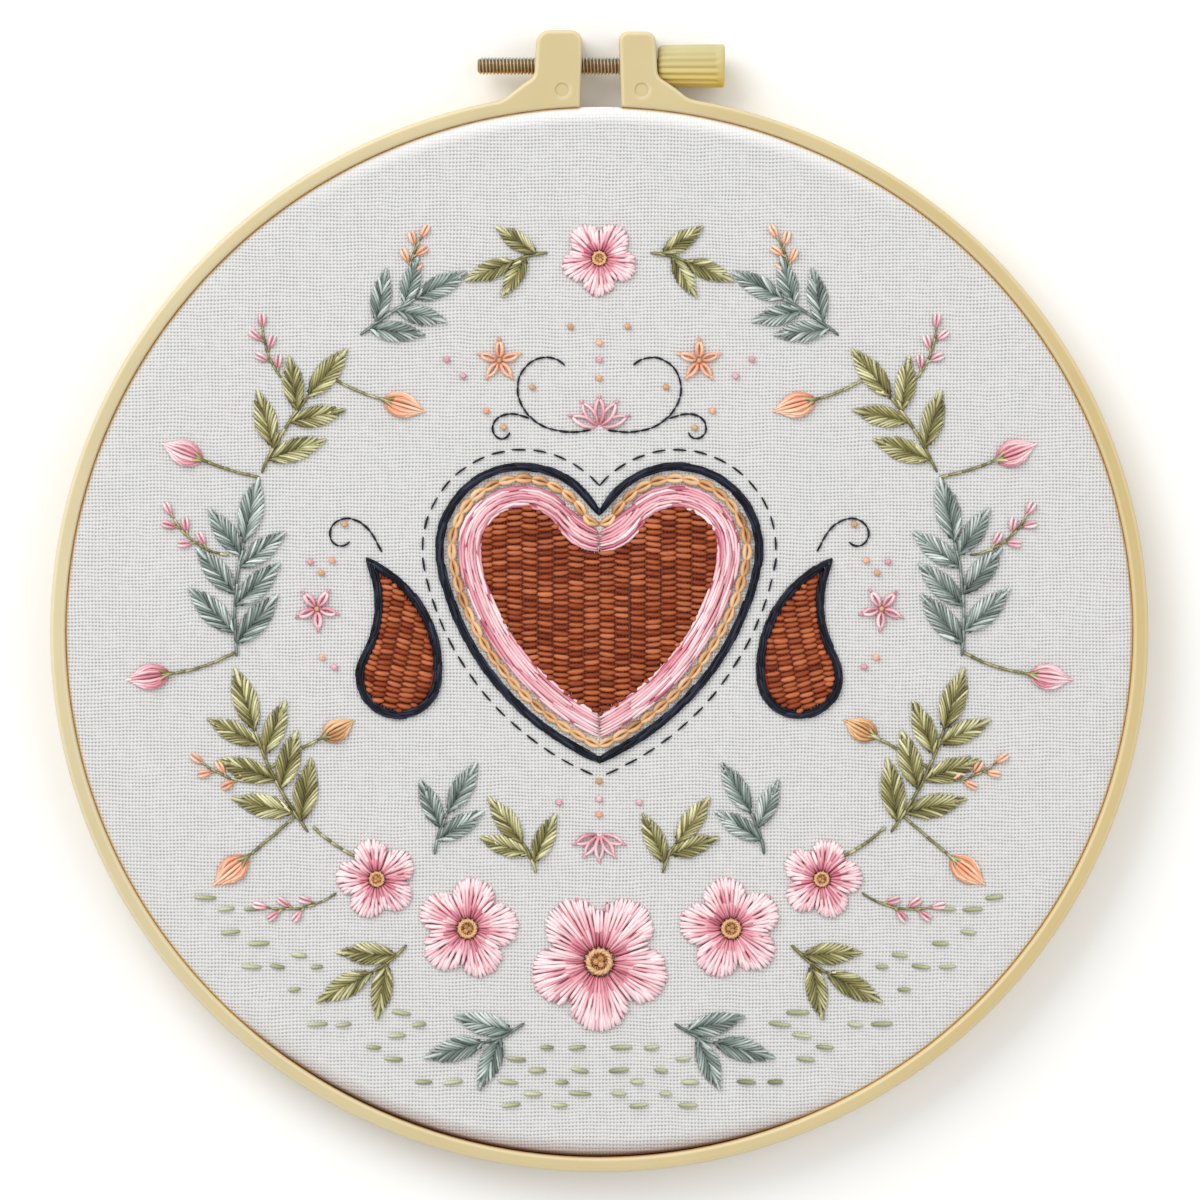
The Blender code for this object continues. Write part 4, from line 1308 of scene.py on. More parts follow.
def heart_side(inset):
    """The right half of the heart's outline, drawn in all round, from its cleft to its tip."""
    lobe = HEART_MIDDLE + (HEART_SPREAD, 0.0)
    side = lobe + direction(HEART_SIDE_FROM) * (HEART_LOBE - HEART_SIDE)
    cleft = HEART_MIDDLE + (0.0, math.sqrt(HEART_LOBE**2 - HEART_SPREAD**2))
    lobe_from = bearing(lobe, cleft)
    side_to = -math.degrees(math.acos(-side[0] / (HEART_SIDE - inset)))
    rounded = [arc(cleft, inset, 270.0, 180.0 + lobe_from, 8)]
    if inset <= 0.0:
        rounded, lobe_from = [], math.degrees(math.acos(-HEART_SPREAD / (HEART_LOBE - inset)))
    return np.vstack([
        *rounded,
        arc(lobe, HEART_LOBE - inset, lobe_from, HEART_SIDE_FROM),
        arc(side, HEART_SIDE - inset, HEART_SIDE_FROM, side_to),
    ])


def heart_outline(inset):
    side = heart_side(inset)
    return np.vstack([side, side[::-1] * (-1.0, 1.0)])


def paisley_outline(inset):
    """A curled drop of arcs, drawn in all round, from its tip down its hollow side and back to its tip."""
    middle = PAISLEY_MIDDLE
    back = middle + direction(PAISLEY_BACK_FROM) * (PAISLEY_BODY - PAISLEY_BACK)
    hollow = middle + direction(PAISLEY_HOLLOW_FROM) * (PAISLEY_BODY + PAISLEY_HOLLOW)
    back_radius, hollow_radius = PAISLEY_BACK - inset, PAISLEY_HOLLOW + inset
    apart = hollow - back
    distance = np.linalg.norm(apart)
    share = (back_radius**2 - hollow_radius**2 + distance**2) / (2 * distance)
    aside = math.sqrt(back_radius**2 - share**2)
    ahead = apart / distance
    tips = [back + ahead * share + np.array([-ahead[1], ahead[0]]) * side * aside for side in (-1, 1)]
    tip = max(tips, key=lambda point: point[1])
    return np.vstack([
        arc(hollow, hollow_radius, bearing(hollow, tip), PAISLEY_HOLLOW_FROM + 180.0),
        arc(middle, PAISLEY_BODY - inset, PAISLEY_HOLLOW_FROM, PAISLEY_BACK_FROM - 360.0),
        arc(back, back_radius, PAISLEY_BACK_FROM, bearing(back, tip)),
    ])


def lay_rows(threads, lines, length, tone, slant=0.0, **options):
    """Long stitches in rows along drawn lines. Each row starts within a stitch of the one beside it, and
    slant is how far a stitch crosses its line, as in stem stitch."""
    for row, line in enumerate(lines):
        trail = Trail(line)
        for mirror in (1, -1):
            first = -length * ((0.5 * (row % 2) + threads.random.uniform(0.0, 0.3)) % 1.0)
            a, b, bow = trail.stitches(length, (0.82 if slant == 0.0 else 0.55) * length, first)
            aside = left_of(b - a) * slant / 2
            threads.stitches(a - aside, b + aside, bow=bow, tone=tone, mirror=mirror, **options)


def lay_stem_band(threads, outline, length):
    """A rope-like band just inside an outline: three rows of slanting stem stitch, the middle one on top."""
    for inset, under in ((0.42, 0.0), (1.30, 0.0), (0.86, 0.20)):
        lay_rows(
            threads, [outline(inset * MM)], length, (0.3, 0.7), 0.34 * MM, width=1.05, rise=0.18 * MM,
            under=under * MM, spread=0.2, wander=0.4,
        )


def lay_chain(threads, line, link, width, tone, mirror):
    """Chain stitch: loops that each start inside the one before."""
    a, b, bow = Trail(line).stitches(1.18 * link, link)
    for side in (1, -1):
        threads.stitches(
            a, b, bow=bow + side * 0.30 * width, width=1.42, rise=0.16 * MM, tone=tone, spread=0.16,
            mirror=mirror, wander=0.4,
        )


def lay_weave(threads, outline, column, row, mirror, turn=0.0):
    """Woven filling: columns of short plump stitches, every other column half a row lower, over a ground in the
    deepest tone that stands in for the shade between them.
    """
    cos, sin = math.cos(math.radians(turn)), math.sin(math.radians(turn))
    spin = np.array([[cos, -sin], [sin, cos]])
    middle = outline.mean(axis=0)
    turned = (outline - middle) @ spin
    low, high = turned.min(axis=0), turned.max(axis=0)
    ground = []
    for x in np.arange(low[0] + 0.3 * MM, high[0], 0.60 * MM):
        ground += [((x, a - 0.35 * MM), (x, b + 1.10 * MM)) for a, b in spans(turned[:, ::-1], x)]
    pads = []
    for c in range(math.floor(low[0] / column), math.ceil(high[0] / column)):
        left, right = c * column - 0.20 * MM, (c + 1) * column + 0.20 * MM
        sway = threads.random.uniform(0.0, math.tau)
        for y in np.arange(low[1] + row * (0.35 + 0.5 * (c % 2)), high[1], row):
            lean = 0.16 * MM * math.sin(y / (7.0 * MM) + sway)
            for first, last in spans(turned, y):
                a, b = max(first, left), min(last, right)
                if b - a > 0.8 * MM:
                    pads.append(((a, y - lean), (b, y + lean)))
    ground, pads = (np.array(lines) @ spin.T + middle for lines in (ground, pads))
    # Painted shade: the ground threads in the deepest tone, so that the gaps between the stitches read as shade.
    threads.stitches(
        ground[:, 0], ground[:, 1], width=1.3, rise=-0.10 * MM, tone=(0.0, 0.0), spread=0.02, mirror=mirror,
        wander=0.1, blunt=0.1,
    )
    threads.stitches(
        pads[:, 0], pads[:, 1], width=1.62, rise=0.16 * MM, bow=-0.14 * MM, tone=(0.50, 0.56), spread=0.16,
        mirror=mirror, wander=0.6, blunt=0.42,
    )


def petal_reach(radius, share):
    return radius * (PETAL_ROOT + (1.0 - PETAL_ROOT) * np.sin(np.pi * share) ** PETAL_FULLNESS)


def lay_blossom(threads, row, mirror):
    """Long and short satin: deep threads at the root, light ones out to the scalloped rim."""
    middle = np.array([row.x, row.y]) * MM
    radius = row.width * MM / 2
    root = radius * KNOT_SHARE * 1.02
    pitch = 0.76 * MM
    rows = (
        # shares of the radius: where the threads are counted, at the inner end, at the outer end (None is
        # the rim); then deep to light, and heights
        (0.62, 0.0, None, (0.15, 0.45), 0.0, 0.10),
        (0.95, 0.50, None, (0.55, 1.00), 0.10, 0.32),
        (0.66, 0.0, None, (0.28, 1.05), 0.12, 0.46),
        (0.42, 0.0, 0.55, (0.10, 0.60), 0.34, 0.26),
    )
    for counted, inner, outer, tone, under, rise in rows:
        count = max(3, round(math.tau * counted * radius / PETALS / pitch))
        for petal in range(PETALS):
            share = (np.arange(count) + 0.5) / count
            share = np.clip(share + threads.about(0.10 / count, count), 0.02, 0.98)
            angle = row.turn + 360.0 * (petal + share) / PETALS
            gathered = row.turn + 360.0 * (petal + 0.5 + 0.90 * (share - 0.5)) / PETALS
            reach = petal_reach(radius, share) * (1.0 - np.abs(threads.about(0.025, count)))
            near = np.full(count, root + inner * (radius - root))
            far = reach if outer is None else np.minimum(reach, outer * radius)
            far = far * (1.0 + threads.about(0.06 if outer else 0.01, count))
            keep = far - near > 0.18 * radius
            a = middle + direction(gathered) * near[:, None]
            b = middle + direction(angle) * far[:, None]
            threads.stitches(
                a[keep], b[keep], width=1.34, rise=rise * MM * (radius / (10 * MM)) ** 0.3,
                under=under * MM, narrow=(0.60, 1.05), tone=tone, spread=0.15, mirror=mirror,
                bow=threads.about(0.08 * MM, int(keep.sum())), wander=0.5,
            )


def lay_ring_knot(threads, middle, radius, mirror, under=0.0):
    """A flower's eye: a ring of two twisted strands round a darker well with a small knot in it, over short
    deep-toned stitches that stand in for its shadow.
    """
    tube = 0.40 * radius
    angle = np.linspace(0.0, 368.0, 64)
    twists = round(math.tau * 0.8 * radius / (1.5 * tube))
    for ply in (0.0, 180.0):
        twist = np.radians(angle * twists + ply)
        ring = radius - tube / 2 + 0.20 * tube * np.cos(twist)
        path = np.asarray(middle) + direction(angle + threads.random.uniform(0, 9)) * ring[:, None]
        heights = under + tube * (0.62 + 0.20 * np.sin(twist))
        threads.cord(path, heights, 0.70 * tube / threads.sizes.width, 0.66, mirror, ends=1.0)
    for step in range(3):
        spot = np.asarray(middle) + direction(60.0 + 120.0 * step) * 0.24 * radius
        threads.knot(spot, 0.30 * radius / threads.sizes.width, 0.28 + 0.12 * step, under + 0.05 * radius, mirror)
    # Painted shade: short deep-toned stitches that poke out round the ring as its shadow on the petals.
    count = max(8, round(math.tau * radius / (0.9 * MM)))
    inner = middle + direction(360.0 * np.arange(count) / count) * radius * 0.30
    outer = middle + direction(360.0 * np.arange(count) / count + 9.0) * radius * 1.12
    threads.stitches(
        inner, outer, width=0.9, under=under, rise=0.02 * MM, tone=(0.15, 0.4), mirror=mirror, wander=0.3
    )


def lay_leaf(threads, foot, heading, length, width, mirror):
    """Fishbone stitch: slanting threads from both edges that cross the middle line, over a deep-toned ground that
    stands in for the shade between them.
    """
    ahead, aside = direction(heading), direction(heading + 90.0)
    # Painted shade: a ground in deep tones, so that the gaps between the stitches read as shade.
    for across in (-0.16, 0.0, 0.16):
        shift = aside * across * width
        threads.stitches(
            [foot + ahead * 0.06 * length + shift], [foot + ahead * 0.88 * length + shift * 0.4], width=1.5,
            rise=-0.06 * MM, tone=(0.05, 0.1), spread=0.05, mirror=mirror, wander=0.2,
        )
    count = max(5, round(length / (0.82 * MM)))
    share = (np.arange(count) + 0.5) / count
    for side in (1, -1):
        edge_share = np.clip(share + 0.20, 0.0, 0.985)
        half = width / 2 * np.sin(np.pi * edge_share) ** 0.85
        start_share = np.clip(share - 0.18, 0.0, 0.9)
        a = foot + ahead * (length * start_share)[:, None] - aside * side * 0.18 * MM
        b = foot + ahead * (length * edge_share)[:, None] + aside * (side * half)[:, None]
        threads.stitches(
            a, b, width=1.28, rise=0.26 * MM, under=0.08 * MM, narrow=(0.8, 0.85), mirror=mirror, wander=0.5,
            tone=(0.15, 0.78) if side > 0 else (0.08, 0.62), spread=0.17, bow=side * -0.12 * MM,
        )
    threads.stitches(
        [foot + ahead * 0.62 * length], [foot + ahead * length * 1.02], width=1.2, rise=0.4 * MM,
        tone=(0.3, 0.8), mirror=mirror, wander=0.3,
    )


def on_stem(sprig, share):
    """A point on a sprig's stem, which is an arc, and the stem's heading there."""
    foot = np.array([sprig.x, sprig.y]) * MM
    radius = sprig.length * MM / math.radians(sprig.turn)
    heading = sprig.heading + sprig.turn * share
    return foot + (direction(sprig.heading + 90.0) - direction(heading + 90.0)) * radius, heading


def sprig_leaves(sprig):
    """The foot, heading and length of each leaf of a sprig, the one at its tip last."""
    leaves = []
    for side, first in ((1, LEFT_LEAVES_FROM), (-1, RIGHT_LEAVES_FROM)):
        for leaf in range(sprig.leaves_a_side):
            share = (leaf + first) / sprig.leaves_a_side
            foot, heading = on_stem(sprig, share)
            leaves.append((foot, heading + side * LEAF_SPREAD, sprig.leaf * MM * (1.0 - LEAF_TAPER * share)))
    return [*leaves, (*on_stem(sprig, 1.0), sprig.leaf * MM)]


def lay_sprig(threads, sprig, mirror):
    line = np.array([on_stem(sprig, share)[0] for share in np.linspace(0.0, 1.0, 25)])
    a, b, bow = Trail(line).stitches(3.4 * MM, 2.1 * MM)
    threads.stitches(a, b, bow=bow, width=1.05, rise=0.10 * MM, tone=(0.25, 0.55), mirror=mirror, wander=0.5)
    for foot, heading, length in sprig_leaves(sprig):
        lay_leaf(threads, foot, heading, length, length * LEAF_SLIMNESS, mirror)


def lay_bud(threads, bud, mirror):
    """Lengthwise satin, crowned, that closes at the tip."""
    foot = np.array([bud.x, bud.y]) * MM
    ahead, aside = direction(bud.heading), direction(bud.heading + 90.0)
    length, width = bud.length * MM, bud.width * MM
    for layer, (count, low, high, rise) in enumerate(((7, 0.10, 1.0, 0.25), (5, 0.16, 0.90, 0.55))):
        share = np.linspace(-1.0, 1.0, count)
        reach = length * (high - 0.20 * np.abs(share))
        a = foot + ahead * (low * length) + aside * (share * 0.12 * width)[:, None]
        b = foot + ahead * reach[:, None] + aside * (share * 0.20 * width)[:, None]
        threads.stitches(
            a, b, bow=share * 0.36 * width * (1 - 0.2 * layer), width=1.05, rise=rise * MM, tone=(0.25, 0.85),
            spread=0.14, mirror=mirror, wander=0.4,
        )


def curl(start, heading, length, first_bend, last_bend, steps=48):
    """A curling line in millimetres and degrees. Its bends are how far it would turn over its length."""
    share = (np.arange(steps) + 0.5) / steps
    headings = heading + first_bend * share + (last_bend - first_bend) * share**2 / 2
    moves = direction(headings) * (length / steps)
    return np.vstack([[start], np.asarray(start) + np.cumsum(moves, axis=0)]) * MM


def stem_to(start, foot, heading):
    """The arc from a point to a bud's foot that gets there in the bud's own direction."""
    chord = bearing(start, foot)
    bend = 2.0 * ((heading - chord + 180.0) % 360.0 - 180.0)
    half = max(math.radians(abs(bend) / 2), 0.001)
    return curl(start, chord - bend / 2, math.dist(start, foot) * half / math.sin(half), bend, bend)


def lay_line(threads, line, stitch, width, mirror, tone=(0.4, 0.6), gap=0.0, rise=0.06):
    """Back stitch, or running stitch where there is a gap, along a drawn line."""
    trail = Trail(line)
    count = max(1, round(trail.length / (stitch + gap)))
    step = trail.length / count
    starts = np.arange(count) * step
    a, b, bow = trail.bowed(starts, starts + step - gap)
    threads.stitches(a, b, bow=bow, width=width, rise=rise * MM, tone=tone, mirror=mirror, wander=0.25)


def lay_loop_petals(threads, middle, petals, length, turn, sweep, mirror):
    """Detached chain stitches round a point, in millimetres."""
    for petal in range(petals):
        heading = turn + sweep * petal / (petals if sweep == 360.0 else petals - 1)
        a = (np.asarray(middle) + direction(heading) * 0.5) * MM
        b = (np.asarray(middle) + direction(heading) * length) * MM
        for side in (1, -1):
            threads.stitches(
                [a], [b], bow=side * 0.15 * length * MM, width=1.15, rise=0.16 * MM, tone=(0.3, 0.85),
                mirror=mirror, wander=0.15,
            )
        threads.stitches([b - direction(heading) * 0.2 * MM], [b + direction(heading) * 0.7 * MM], width=0.8,
                         rise=0.2 * MM, tone=(0.4, 0.5), mirror=mirror, wander=0.1)


def lay_bud_spray(stems, buds, start, heading, length, bend, mirror):
    """A fine stem with small buds of two or three short stitches on both its sides."""
    line = curl(start, heading, length, bend, bend)
    lay_line(stems, line, 1.9 * MM, 0.78, mirror, (0.3, 0.6), gap=-0.5 * MM)
    trail = Trail(line)
    for i, share in enumerate((0.34, 0.52, 0.68, 0.84, 1.0)):
        foot = trail.at(share * trail.length)
        ahead = heading + bend * share
        aside = (0.0 if share == 1.0 else (38.0, -38.0)[i % 2]) + ahead
        out = direction(aside)
        stems.stitches([foot], [foot + out * 1.3 * MM], width=0.75, rise=0.1 * MM, mirror=mirror, wander=0.2)
        tip = foot + out * 3.4 * MM
        for offset in (-0.32, 0.32):
            shift = direction(aside + 90.0) * offset * MM
            buds.stitches(
                [foot + out * 0.9 * MM + shift * 0.4], [tip + shift], bow=offset * 0.5 * MM, width=0.98,
                rise=0.30 * MM, tone=(0.3, 0.9), mirror=mirror, wander=0.3,
            )


def seed_spots(threads, row_pitch, apart):
    """Places for loose level stitches below the wreath, in millimetres, in rows and clear of the motifs."""
    taken = [(b.x, b.y, b.width / 2 + 3.0) for b in BLOSSOMS]
    for sprig in SPRIGS:
        for foot, heading, length in sprig_leaves(sprig):
            taken += [(*((foot + direction(heading) * length * s) / MM), 4.0) for s in (0.0, 0.35, 0.7, 1.0)]
    taken = np.array(taken)
    spots = []
    for x, y in threads.random.uniform((2.4, -88.0), (74.0, -48.0), (4000, 2)):
        spot = np.array([x, round(y / row_pitch) * row_pitch])
        inside = 74.0 + 0.1 * x < np.hypot(*spot) < 88.0
        clear = np.all(np.hypot(*(taken[:, :2] - spot).T) > taken[:, 2])
        if inside and clear and all(np.hypot(*((spot - other) * (1.0, 1.6))) > apart for other in spots):
            spots.append(spot)
    return np.array(spots)


# Fine work between the motifs, on the right half: start, heading, length and bends of each line.
BUD_STEMS_FROM = ((55.3, -33.5), (66.0, -3.5), (60.3, -25.0), (61.8, 28.2), (49.5, 46.8))
JOINING_STEM = ((44.0, -41.0), 24.0, 9.9, 20.0, 24.0)
SCROLLS = (
    ((1.5, 36.8), -12.0, 30.0, 80.0, 400.0),
    ((12.8, 38.9), 20.0, 13.0, 0.0, -560.0),
    ((39.6, 14.6), 62.0, 19.0, 30.0, -620.0),
)
BUD_SPRAYS = (
    ("pink", (67.4, 14.0), 6.0, 12.5, 55.0),
    ("peach", (58.8, -27.0), -12.0, 13.5, 48.0),
    ("pink", (55.8, 44.2), 40.0, 12.0, 45.0),
    ("peach", (35.0, 61.5), 88.0, 10.0, 30.0),
    ("pink", (47.8, -47.5), -36.0, 12.5, 46.0),
)
BERRIES = (
    ("gold", ((0.0, 46.2), (0.0, -27.2), (46.4, 19.6), (50.6, 10.8), (12.2, 44.6), (17.4, 37.2), (5.2, 55.6))),
    ("pink", ((0.0, 49.6), (0.0, -30.4), (24.8, 46.6), (52.6, 12.8), (7.3, -31.0), (27.8, 49.6), (48.2, -6.4))),
    ("peach", ((0.0, 52.6), (0.0, -33.2), (20.6, 40.2), (50.4, -4.6), (48.6, 13.0), (17.6, -33.6), (19.6, -30.9))),
)
LOOP_FLOWERS = (
    # colour, middle, petals, their length, first heading, sweep
    ("pink", (0.0, 37.2), 5, 5.4, 22.0, 136.0),
    ("pink", (0.0, -36.8), 5, 4.6, 202.0, 136.0),
    ("peach", (18.2, 49.4), 5, 3.6, 18.0, 360.0),
    ("pink", (51.4, 4.2), 5, 3.6, 50.0, 360.0),
)


# --- Operators: one for each piece or group of like pieces --------------------------------------


class EMBROIDERY_OT_split_hoop(bpy.types.Operator):
    """Make the outer hoop with its two clamp lugs"""

    bl_idname = "embroidery.split_hoop"
    bl_label = "Outer hoop"

    def execute(self, context):
        sizes = context.scene.hoop_sizes
        make_outer_hoop(sizes, plastic_material("hoop_moulding", sizes, hoop_painted_light, grooved=True))
        return {"FINISHED"}


class EMBROIDERY_OT_inner_hoop(bpy.types.Operator):
    """Make the band that the cloth is drawn over"""

    bl_idname = "embroidery.inner_hoop"
    bl_label = "Inner hoop"

    def execute(self, context):
        sizes = context.scene.hoop_sizes
        make_inner_hoop(sizes, plastic_material("band_moulding", sizes))
        return {"FINISHED"}


class EMBROIDERY_OT_thumbscrew(bpy.types.Operator):
    """Make the clamp screw and its knob"""

    bl_idname = "embroidery.thumbscrew"
    bl_label = "Thumbscrew"

    def execute(self, context):
        sizes = context.scene.hoop_sizes
        make_screw(sizes, screw_material(sizes.screw_colour))
        make_knob(sizes, plastic_material("knob_moulding", sizes, knob_painted_light))
        return {"FINISHED"}


class EMBROIDERY_OT_cloth(bpy.types.Operator):
    """Stretch the woven cloth over the inner hoop"""

    bl_idname = "embroidery.cloth"
    bl_label = "Cloth"

    def execute(self, context):
        sizes = context.scene.cloth_sizes
        make_cloth(sizes, cloth_material(sizes))
        return {"FINISHED"}


class EMBROIDERY_OT_heart(bpy.types.Operator):
    """Stitch the heart: stem-stitched outline, chain, long satin band and woven filling"""

    bl_idname = "embroidery.heart"
    bl_label = "Heart"

    def execute(self, context):
        sizes = context.scene.floss_sizes
        outline = Threads("heart_outline_stitches", sizes)
        lay_stem_band(outline, heart_side, 6.5 * MM)
        for end, way in ((0, -1.0), (-1, 1.0)):
            y = heart_side(0.0)[end][1]
            outline.stitches(
                [(0.0, y + way * 1.5 * MM)], [(0.0, y + way * 0.2 * MM)], width=1.15, rise=0.2 * MM,
                under=0.12 * MM, tone=(0.4, 0.5), wander=0.0,
            )
        outline.piece("navy", ["heart_outline"])
        chain = Threads("heart_chain_stitches", sizes)
        for mirror in (1, -1):
            lay_chain(chain, heart_side(3.05 * MM), 3.0 * MM, 1.7 * MM, (0.35, 0.8), mirror)
        chain.piece("gold", ["heart_chain"])
        band = Threads("heart_band_stitches", sizes)
        # Painted shade: deep-toned rows under the band, so that the gaps between its stitches read as shade.
        base = [heart_side(inset * MM) for inset in np.linspace(4.8, 7.8, 5)]
        lay_rows(band, base, 14.0 * MM, (0.05, 0.2), width=1.5, wander=0.4, blunt=0.42)
        insets = np.linspace(4.55, 8.05, 8)
        for height, inset in zip((0.0, 0.16, 0.28, 0.35, 0.35, 0.28, 0.16, 0.0), insets):
            lay_rows(
                band, [heart_side(inset * MM)], band.random.uniform(9.0, 12.0) * MM, (0.50, 0.72),
                width=1.12, rise=0.16 * MM, under=height * MM, spread=0.18, wander=0.6,
            )
        band.piece("pink", ["heart_band"])
        filling = Threads("heart_filling_stitches", sizes)
        lay_weave(filling, heart_outline(8.15 * MM), 2.8 * MM, 1.08 * MM, 1)
        filling.piece("rust", ["heart_filling"])
        return {"FINISHED"}


class EMBROIDERY_OT_paisleys(bpy.types.Operator):
    """Stitch the pair of paisleys"""

    bl_idname = "embroidery.paisleys"
    bl_label = "Paisleys"

    def execute(self, context):
        sizes = context.scene.floss_sizes
        outline = Threads("paisley_outline_stitches", sizes)
        lay_stem_band(outline, paisley_outline, 4.8 * MM)
        outline.piece("navy", node_names("paisley_outline", True))
        filling = Threads("paisley_filling_stitches", sizes)
        for mirror in (1, -1):
            lay_weave(filling, paisley_outline(1.6 * MM), 2.6 * MM, 1.0 * MM, mirror, 12.0)
        filling.piece("rust", node_names("paisley_filling", True))
        return {"FINISHED"}


class EMBROIDERY_OT_blossoms(bpy.types.Operator):
    """Stitch the five-petalled blossoms and their ring knots"""

    bl_idname = "embroidery.blossoms"
    bl_label = "Blossoms"

    def execute(self, context):
        sizes = context.scene.floss_sizes
        for row in BLOSSOMS:
            petals = Threads(row.name + "_petals", sizes)
            eye = Threads(row.name + "_eye", sizes)
            for mirror in mirrors(row.paired):
                lay_blossom(petals, row, mirror)
                middle = np.array([row.x, row.y]) * MM
                lay_ring_knot(eye, middle, row.width * MM / 2 * KNOT_SHARE * 0.95, mirror, 0.35 * MM)
            petals.piece("pink", node_names(row.name, row.paired))
            eye.piece("gold", node_names(row.name + "_knot", row.paired))
        return {"FINISHED"}


class EMBROIDERY_OT_sprigs(bpy.types.Operator):
    """Stitch the leaf sprigs of the wreath"""

    bl_idname = "embroidery.sprigs"
    bl_label = "Leaf sprigs"

    def execute(self, context):
        for sprig in SPRIGS:
            threads = Threads(sprig.name + "_leaves", context.scene.floss_sizes)
            for mirror in (1, -1):
                lay_sprig(threads, sprig, mirror)
            threads.piece(sprig.thread, node_names(sprig.name, True))
        return {"FINISHED"}


class EMBROIDERY_OT_buds(bpy.types.Operator):
    """Stitch the buds"""

    bl_idname = "embroidery.buds"
    bl_label = "Buds"

    def execute(self, context):
        for bud in BUDS:
            threads = Threads(bud.name + "_satin", context.scene.floss_sizes)
            for mirror in (1, -1):
                lay_bud(threads, bud, mirror)
            threads.piece(bud.thread, node_names(bud.name, True))
        return {"FINISHED"}


class EMBROIDERY_OT_fine_work(bpy.types.Operator):
    """Stitch the stems, scrolls, knots and seeds between the motifs"""

    bl_idname = "embroidery.fine_work"
    bl_label = "Fine work"

    def execute(self, context):
        sizes = context.scene.floss_sizes
        stems = Threads("fine_stems", sizes)
        scrolls = Threads("navy_scrolls", sizes)
        seeds = Threads("seed_stitches", sizes)
        small = {colour: Threads(colour + "_small_flowers", sizes) for colour, _ in BERRIES}
        spots = seed_spots(seeds, 2.1, 4.6)
        for mirror in (1, -1):
            lines = [stem_to(start, (bud.x, bud.y), bud.heading) for start, bud in zip(BUD_STEMS_FROM, BUDS)]
            for line in (*lines, curl(*JOINING_STEM)):
                lay_line(stems, line, 2.2 * MM, 0.95, mirror, (0.3, 0.6), gap=-0.9 * MM)
            for bud in BUDS:
                foot, ahead = np.array([bud.x, bud.y]), direction(bud.heading)
                for aside in (-1, 0, 1):
                    tip = foot + direction(bud.heading + 22.0 * aside) * (0.40 if aside else 0.26) * bud.length
                    stems.stitches(
                        [(foot - 0.4 * ahead) * MM], [tip * MM], bow=-aside * 0.35 * MM, rise=0.35 * MM,
                        under=0.15 * MM, tone=(0.3, 0.75), mirror=mirror, wander=0.3,
                    )
            for colour, *spray in BUD_SPRAYS:
                lay_bud_spray(stems, small[colour], *spray, mirror)
            for scroll in SCROLLS:
                lay_line(scrolls, curl(*scroll), 2.0 * MM, 0.72, mirror)
            lay_line(scrolls, heart_side(-2.2 * MM), 2.6 * MM, 0.66, mirror, gap=1.3 * MM)
            turn = direction(seeds.random.uniform(-9.0, 9.0, len(spots)))
            half = seeds.random.uniform(1.1, 2.1, (len(spots), 1))
            seeds.stitches(
                (spots - turn * half) * MM, (spots + turn * half) * MM, width=1.3, rise=0.1 * MM, tone=(0.3, 0.8),
                spread=0.22, mirror=mirror, wander=0.4,
            )
        for colour, knots in BERRIES:
            for spot in knots:
                for mirror in mirrors(spot[0] > 0.0):
                    small[colour].knot(np.array(spot) * MM, 1.0, 0.6, 0.0, mirror)
        for colour, middle, *petals in LOOP_FLOWERS:
            for mirror in mirrors(middle[0] > 0.0):
                lay_loop_petals(small[colour], middle, *petals, mirror)
                if petals[-1] == 360.0:
                    small["gold"].knot(np.array(middle) * MM, 0.8, 0.6, 0.1 * MM, mirror)
        stems.piece("olive")
        scrolls.piece("navy")
        seeds.piece("seed")
        for colour, threads in small.items():
            threads.piece(colour)
        return {"FINISHED"}


class EMBROIDERY_OT_back_floats(bpy.types.Operator):
    """Lay the threads that cross the back of the cloth from stitch to stitch"""

    bl_idname = "embroidery.back_floats"
    bl_label = "Floats on the back"

    def execute(self, context):
        back = FRONT - context.scene.cloth_sizes.thickness
        random = np.random.default_rng(11)
        for colour, laid in FLOATS.items():
            tubes = []
            for ends, widths in laid:
                a, b = ends[:-1, 1], ends[1:, 0]
                far = np.linalg.norm(b - a, axis=1)
                keep = (far > SHORTEST_FLOAT) & (far < LONGEST_FLOAT)
                if not keep.any():
                    continue
                a, b, wide = a[keep], b[keep], widths[1:][keep][:, None] * BACK_WIDTHS
                path = a[:, None] + (b - a)[:, None] * BACK_STOPS[:, None]
                sag = random.uniform(*FLOAT_SAG, (len(a), 1)) * MM
                height = back + 0.05 * MM - sag * bulge(BACK_STOPS, 1.0)
                points = np.concatenate([path, height[..., None]], axis=-1) + np.array([0.0, HOOP_Y, 0.0])
                # Lighter tones: from behind, each float shows the painted shade of its sides, which these make up
                # for.
                tones = random.uniform(0.55, 0.9, (len(a), 1)) * np.ones(3)
                tubes.append((points, wide, wide * 0.7, tones))
            if tubes:
                obj = tube_object(colour + "_floats", tubes, BACK_SIDES, floss(colour))
                finish_piece(obj, HOOP_BODY)
        return {"FINISHED"}


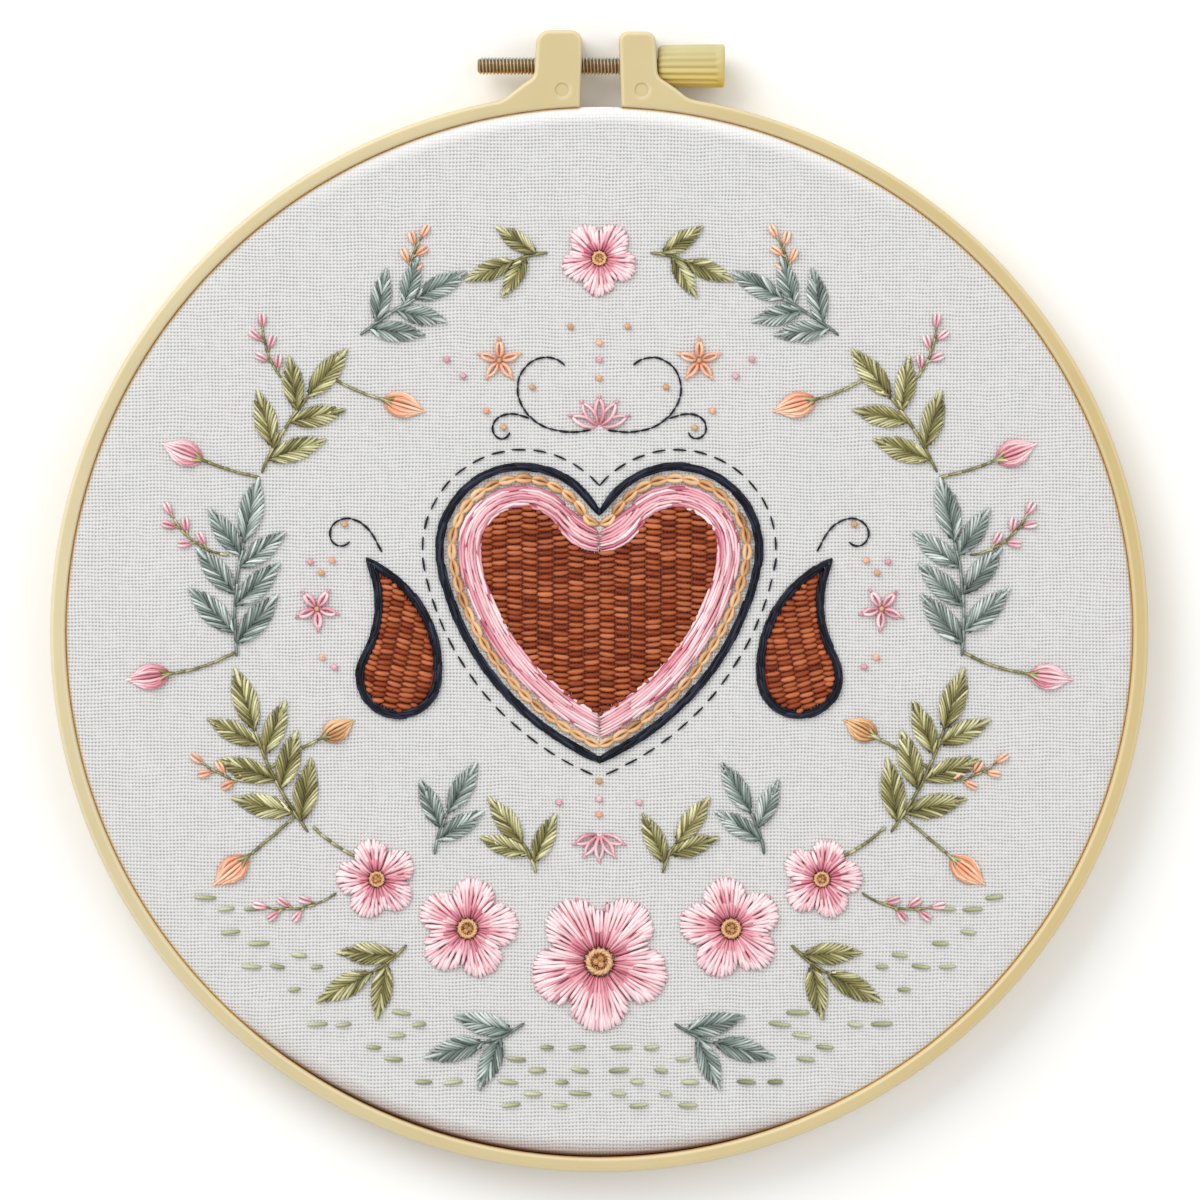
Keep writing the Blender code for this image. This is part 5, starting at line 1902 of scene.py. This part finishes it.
class EMBROIDERY_OT_stage(bpy.types.Operator):
    """Set the camera, the pale floor and the soft studio light"""

    bl_idname = "embroidery.stage"
    bl_label = "Stage"

    def execute(self, context):
        settings = context.scene.stage_settings
        scene = context.scene
        camera = add_object("camera", bpy.data.cameras.new("camera"))
        camera.data.lens = settings.lens
        distance = settings.view_width * settings.lens / camera.data.sensor_width
        camera.location = (*AIM, RING_DEPTH + distance)
        camera.data.clip_end = 10.0
        scene.camera = camera
        floor = start_with("floor", bpy.ops.mesh.primitive_plane_add, size=FLOOR_SIZE)
        floor.data.materials.append(new_material("pale_floor", Base_Color=(0.93, 0.93, 0.925), Roughness=0.9)[0])
        world = scene.world or bpy.data.worlds.new("studio")
        scene.world = world
        world.use_nodes = True
        background = world.node_tree.nodes["Background"]
        background.inputs["Color"].default_value = (1.0, 0.995, 0.985, 1.0)
        background.inputs["Strength"].default_value = settings.ambient
        for name, place in LAMP_PLACES.items():
            lamp = add_object(name + "_light", bpy.data.lights.new(name + "_light", "AREA"))
            lamp.data.size = LAMP_SIZE
            lamp.data.energy = getattr(settings, name)
            lamp.location = place
            lamp.rotation_euler = (-Vector(place)).to_track_quat("-Z", "Y").to_euler()
        scene.view_settings.view_transform = "Standard"
        return {"FINISHED"}


class EMBROIDERY_PT_panel(bpy.types.Panel):
    """Lists the pieces of the hoop embroidery"""

    bl_idname = "EMBROIDERY_PT_panel"
    bl_label = "Hoop embroidery art"
    bl_space_type = "VIEW_3D"
    bl_region_type = "UI"
    bl_category = "Embroidery"

    def draw(self, context):
        for operator in OPERATORS:
            self.layout.operator(operator.bl_idname)
        for settings in SETTINGS:
            group = getattr(context.scene, settings)
            for name in type(group).__annotations__:
                self.layout.prop(group, name)


SETTINGS = {
    "hoop_sizes": HoopSizes,
    "cloth_sizes": ClothSizes,
    "floss_sizes": FlossSizes,
    "stage_settings": StageSettings,
}
OPERATORS = (
    EMBROIDERY_OT_split_hoop,
    EMBROIDERY_OT_inner_hoop,
    EMBROIDERY_OT_thumbscrew,
    EMBROIDERY_OT_cloth,
    EMBROIDERY_OT_heart,
    EMBROIDERY_OT_paisleys,
    EMBROIDERY_OT_blossoms,
    EMBROIDERY_OT_sprigs,
    EMBROIDERY_OT_buds,
    EMBROIDERY_OT_fine_work,
    EMBROIDERY_OT_back_floats,
    EMBROIDERY_OT_stage,
)


def register():
    for owner in (*SETTINGS.values(), *OPERATORS, EMBROIDERY_PT_panel):
        bpy.utils.register_class(owner)
    for name, owner in SETTINGS.items():
        setattr(bpy.types.Scene, name, PointerProperty(type=owner))


def unregister():
    for name in SETTINGS:
        delattr(bpy.types.Scene, name)
    for owner in (EMBROIDERY_PT_panel, *reversed(OPERATORS), *SETTINGS.values()):
        bpy.utils.unregister_class(owner)


def main():
    register()
    for operator in OPERATORS:
        getattr(bpy.ops.embroidery, operator.bl_idname.split(".")[1])()


if __name__ == "__main__":
    main()
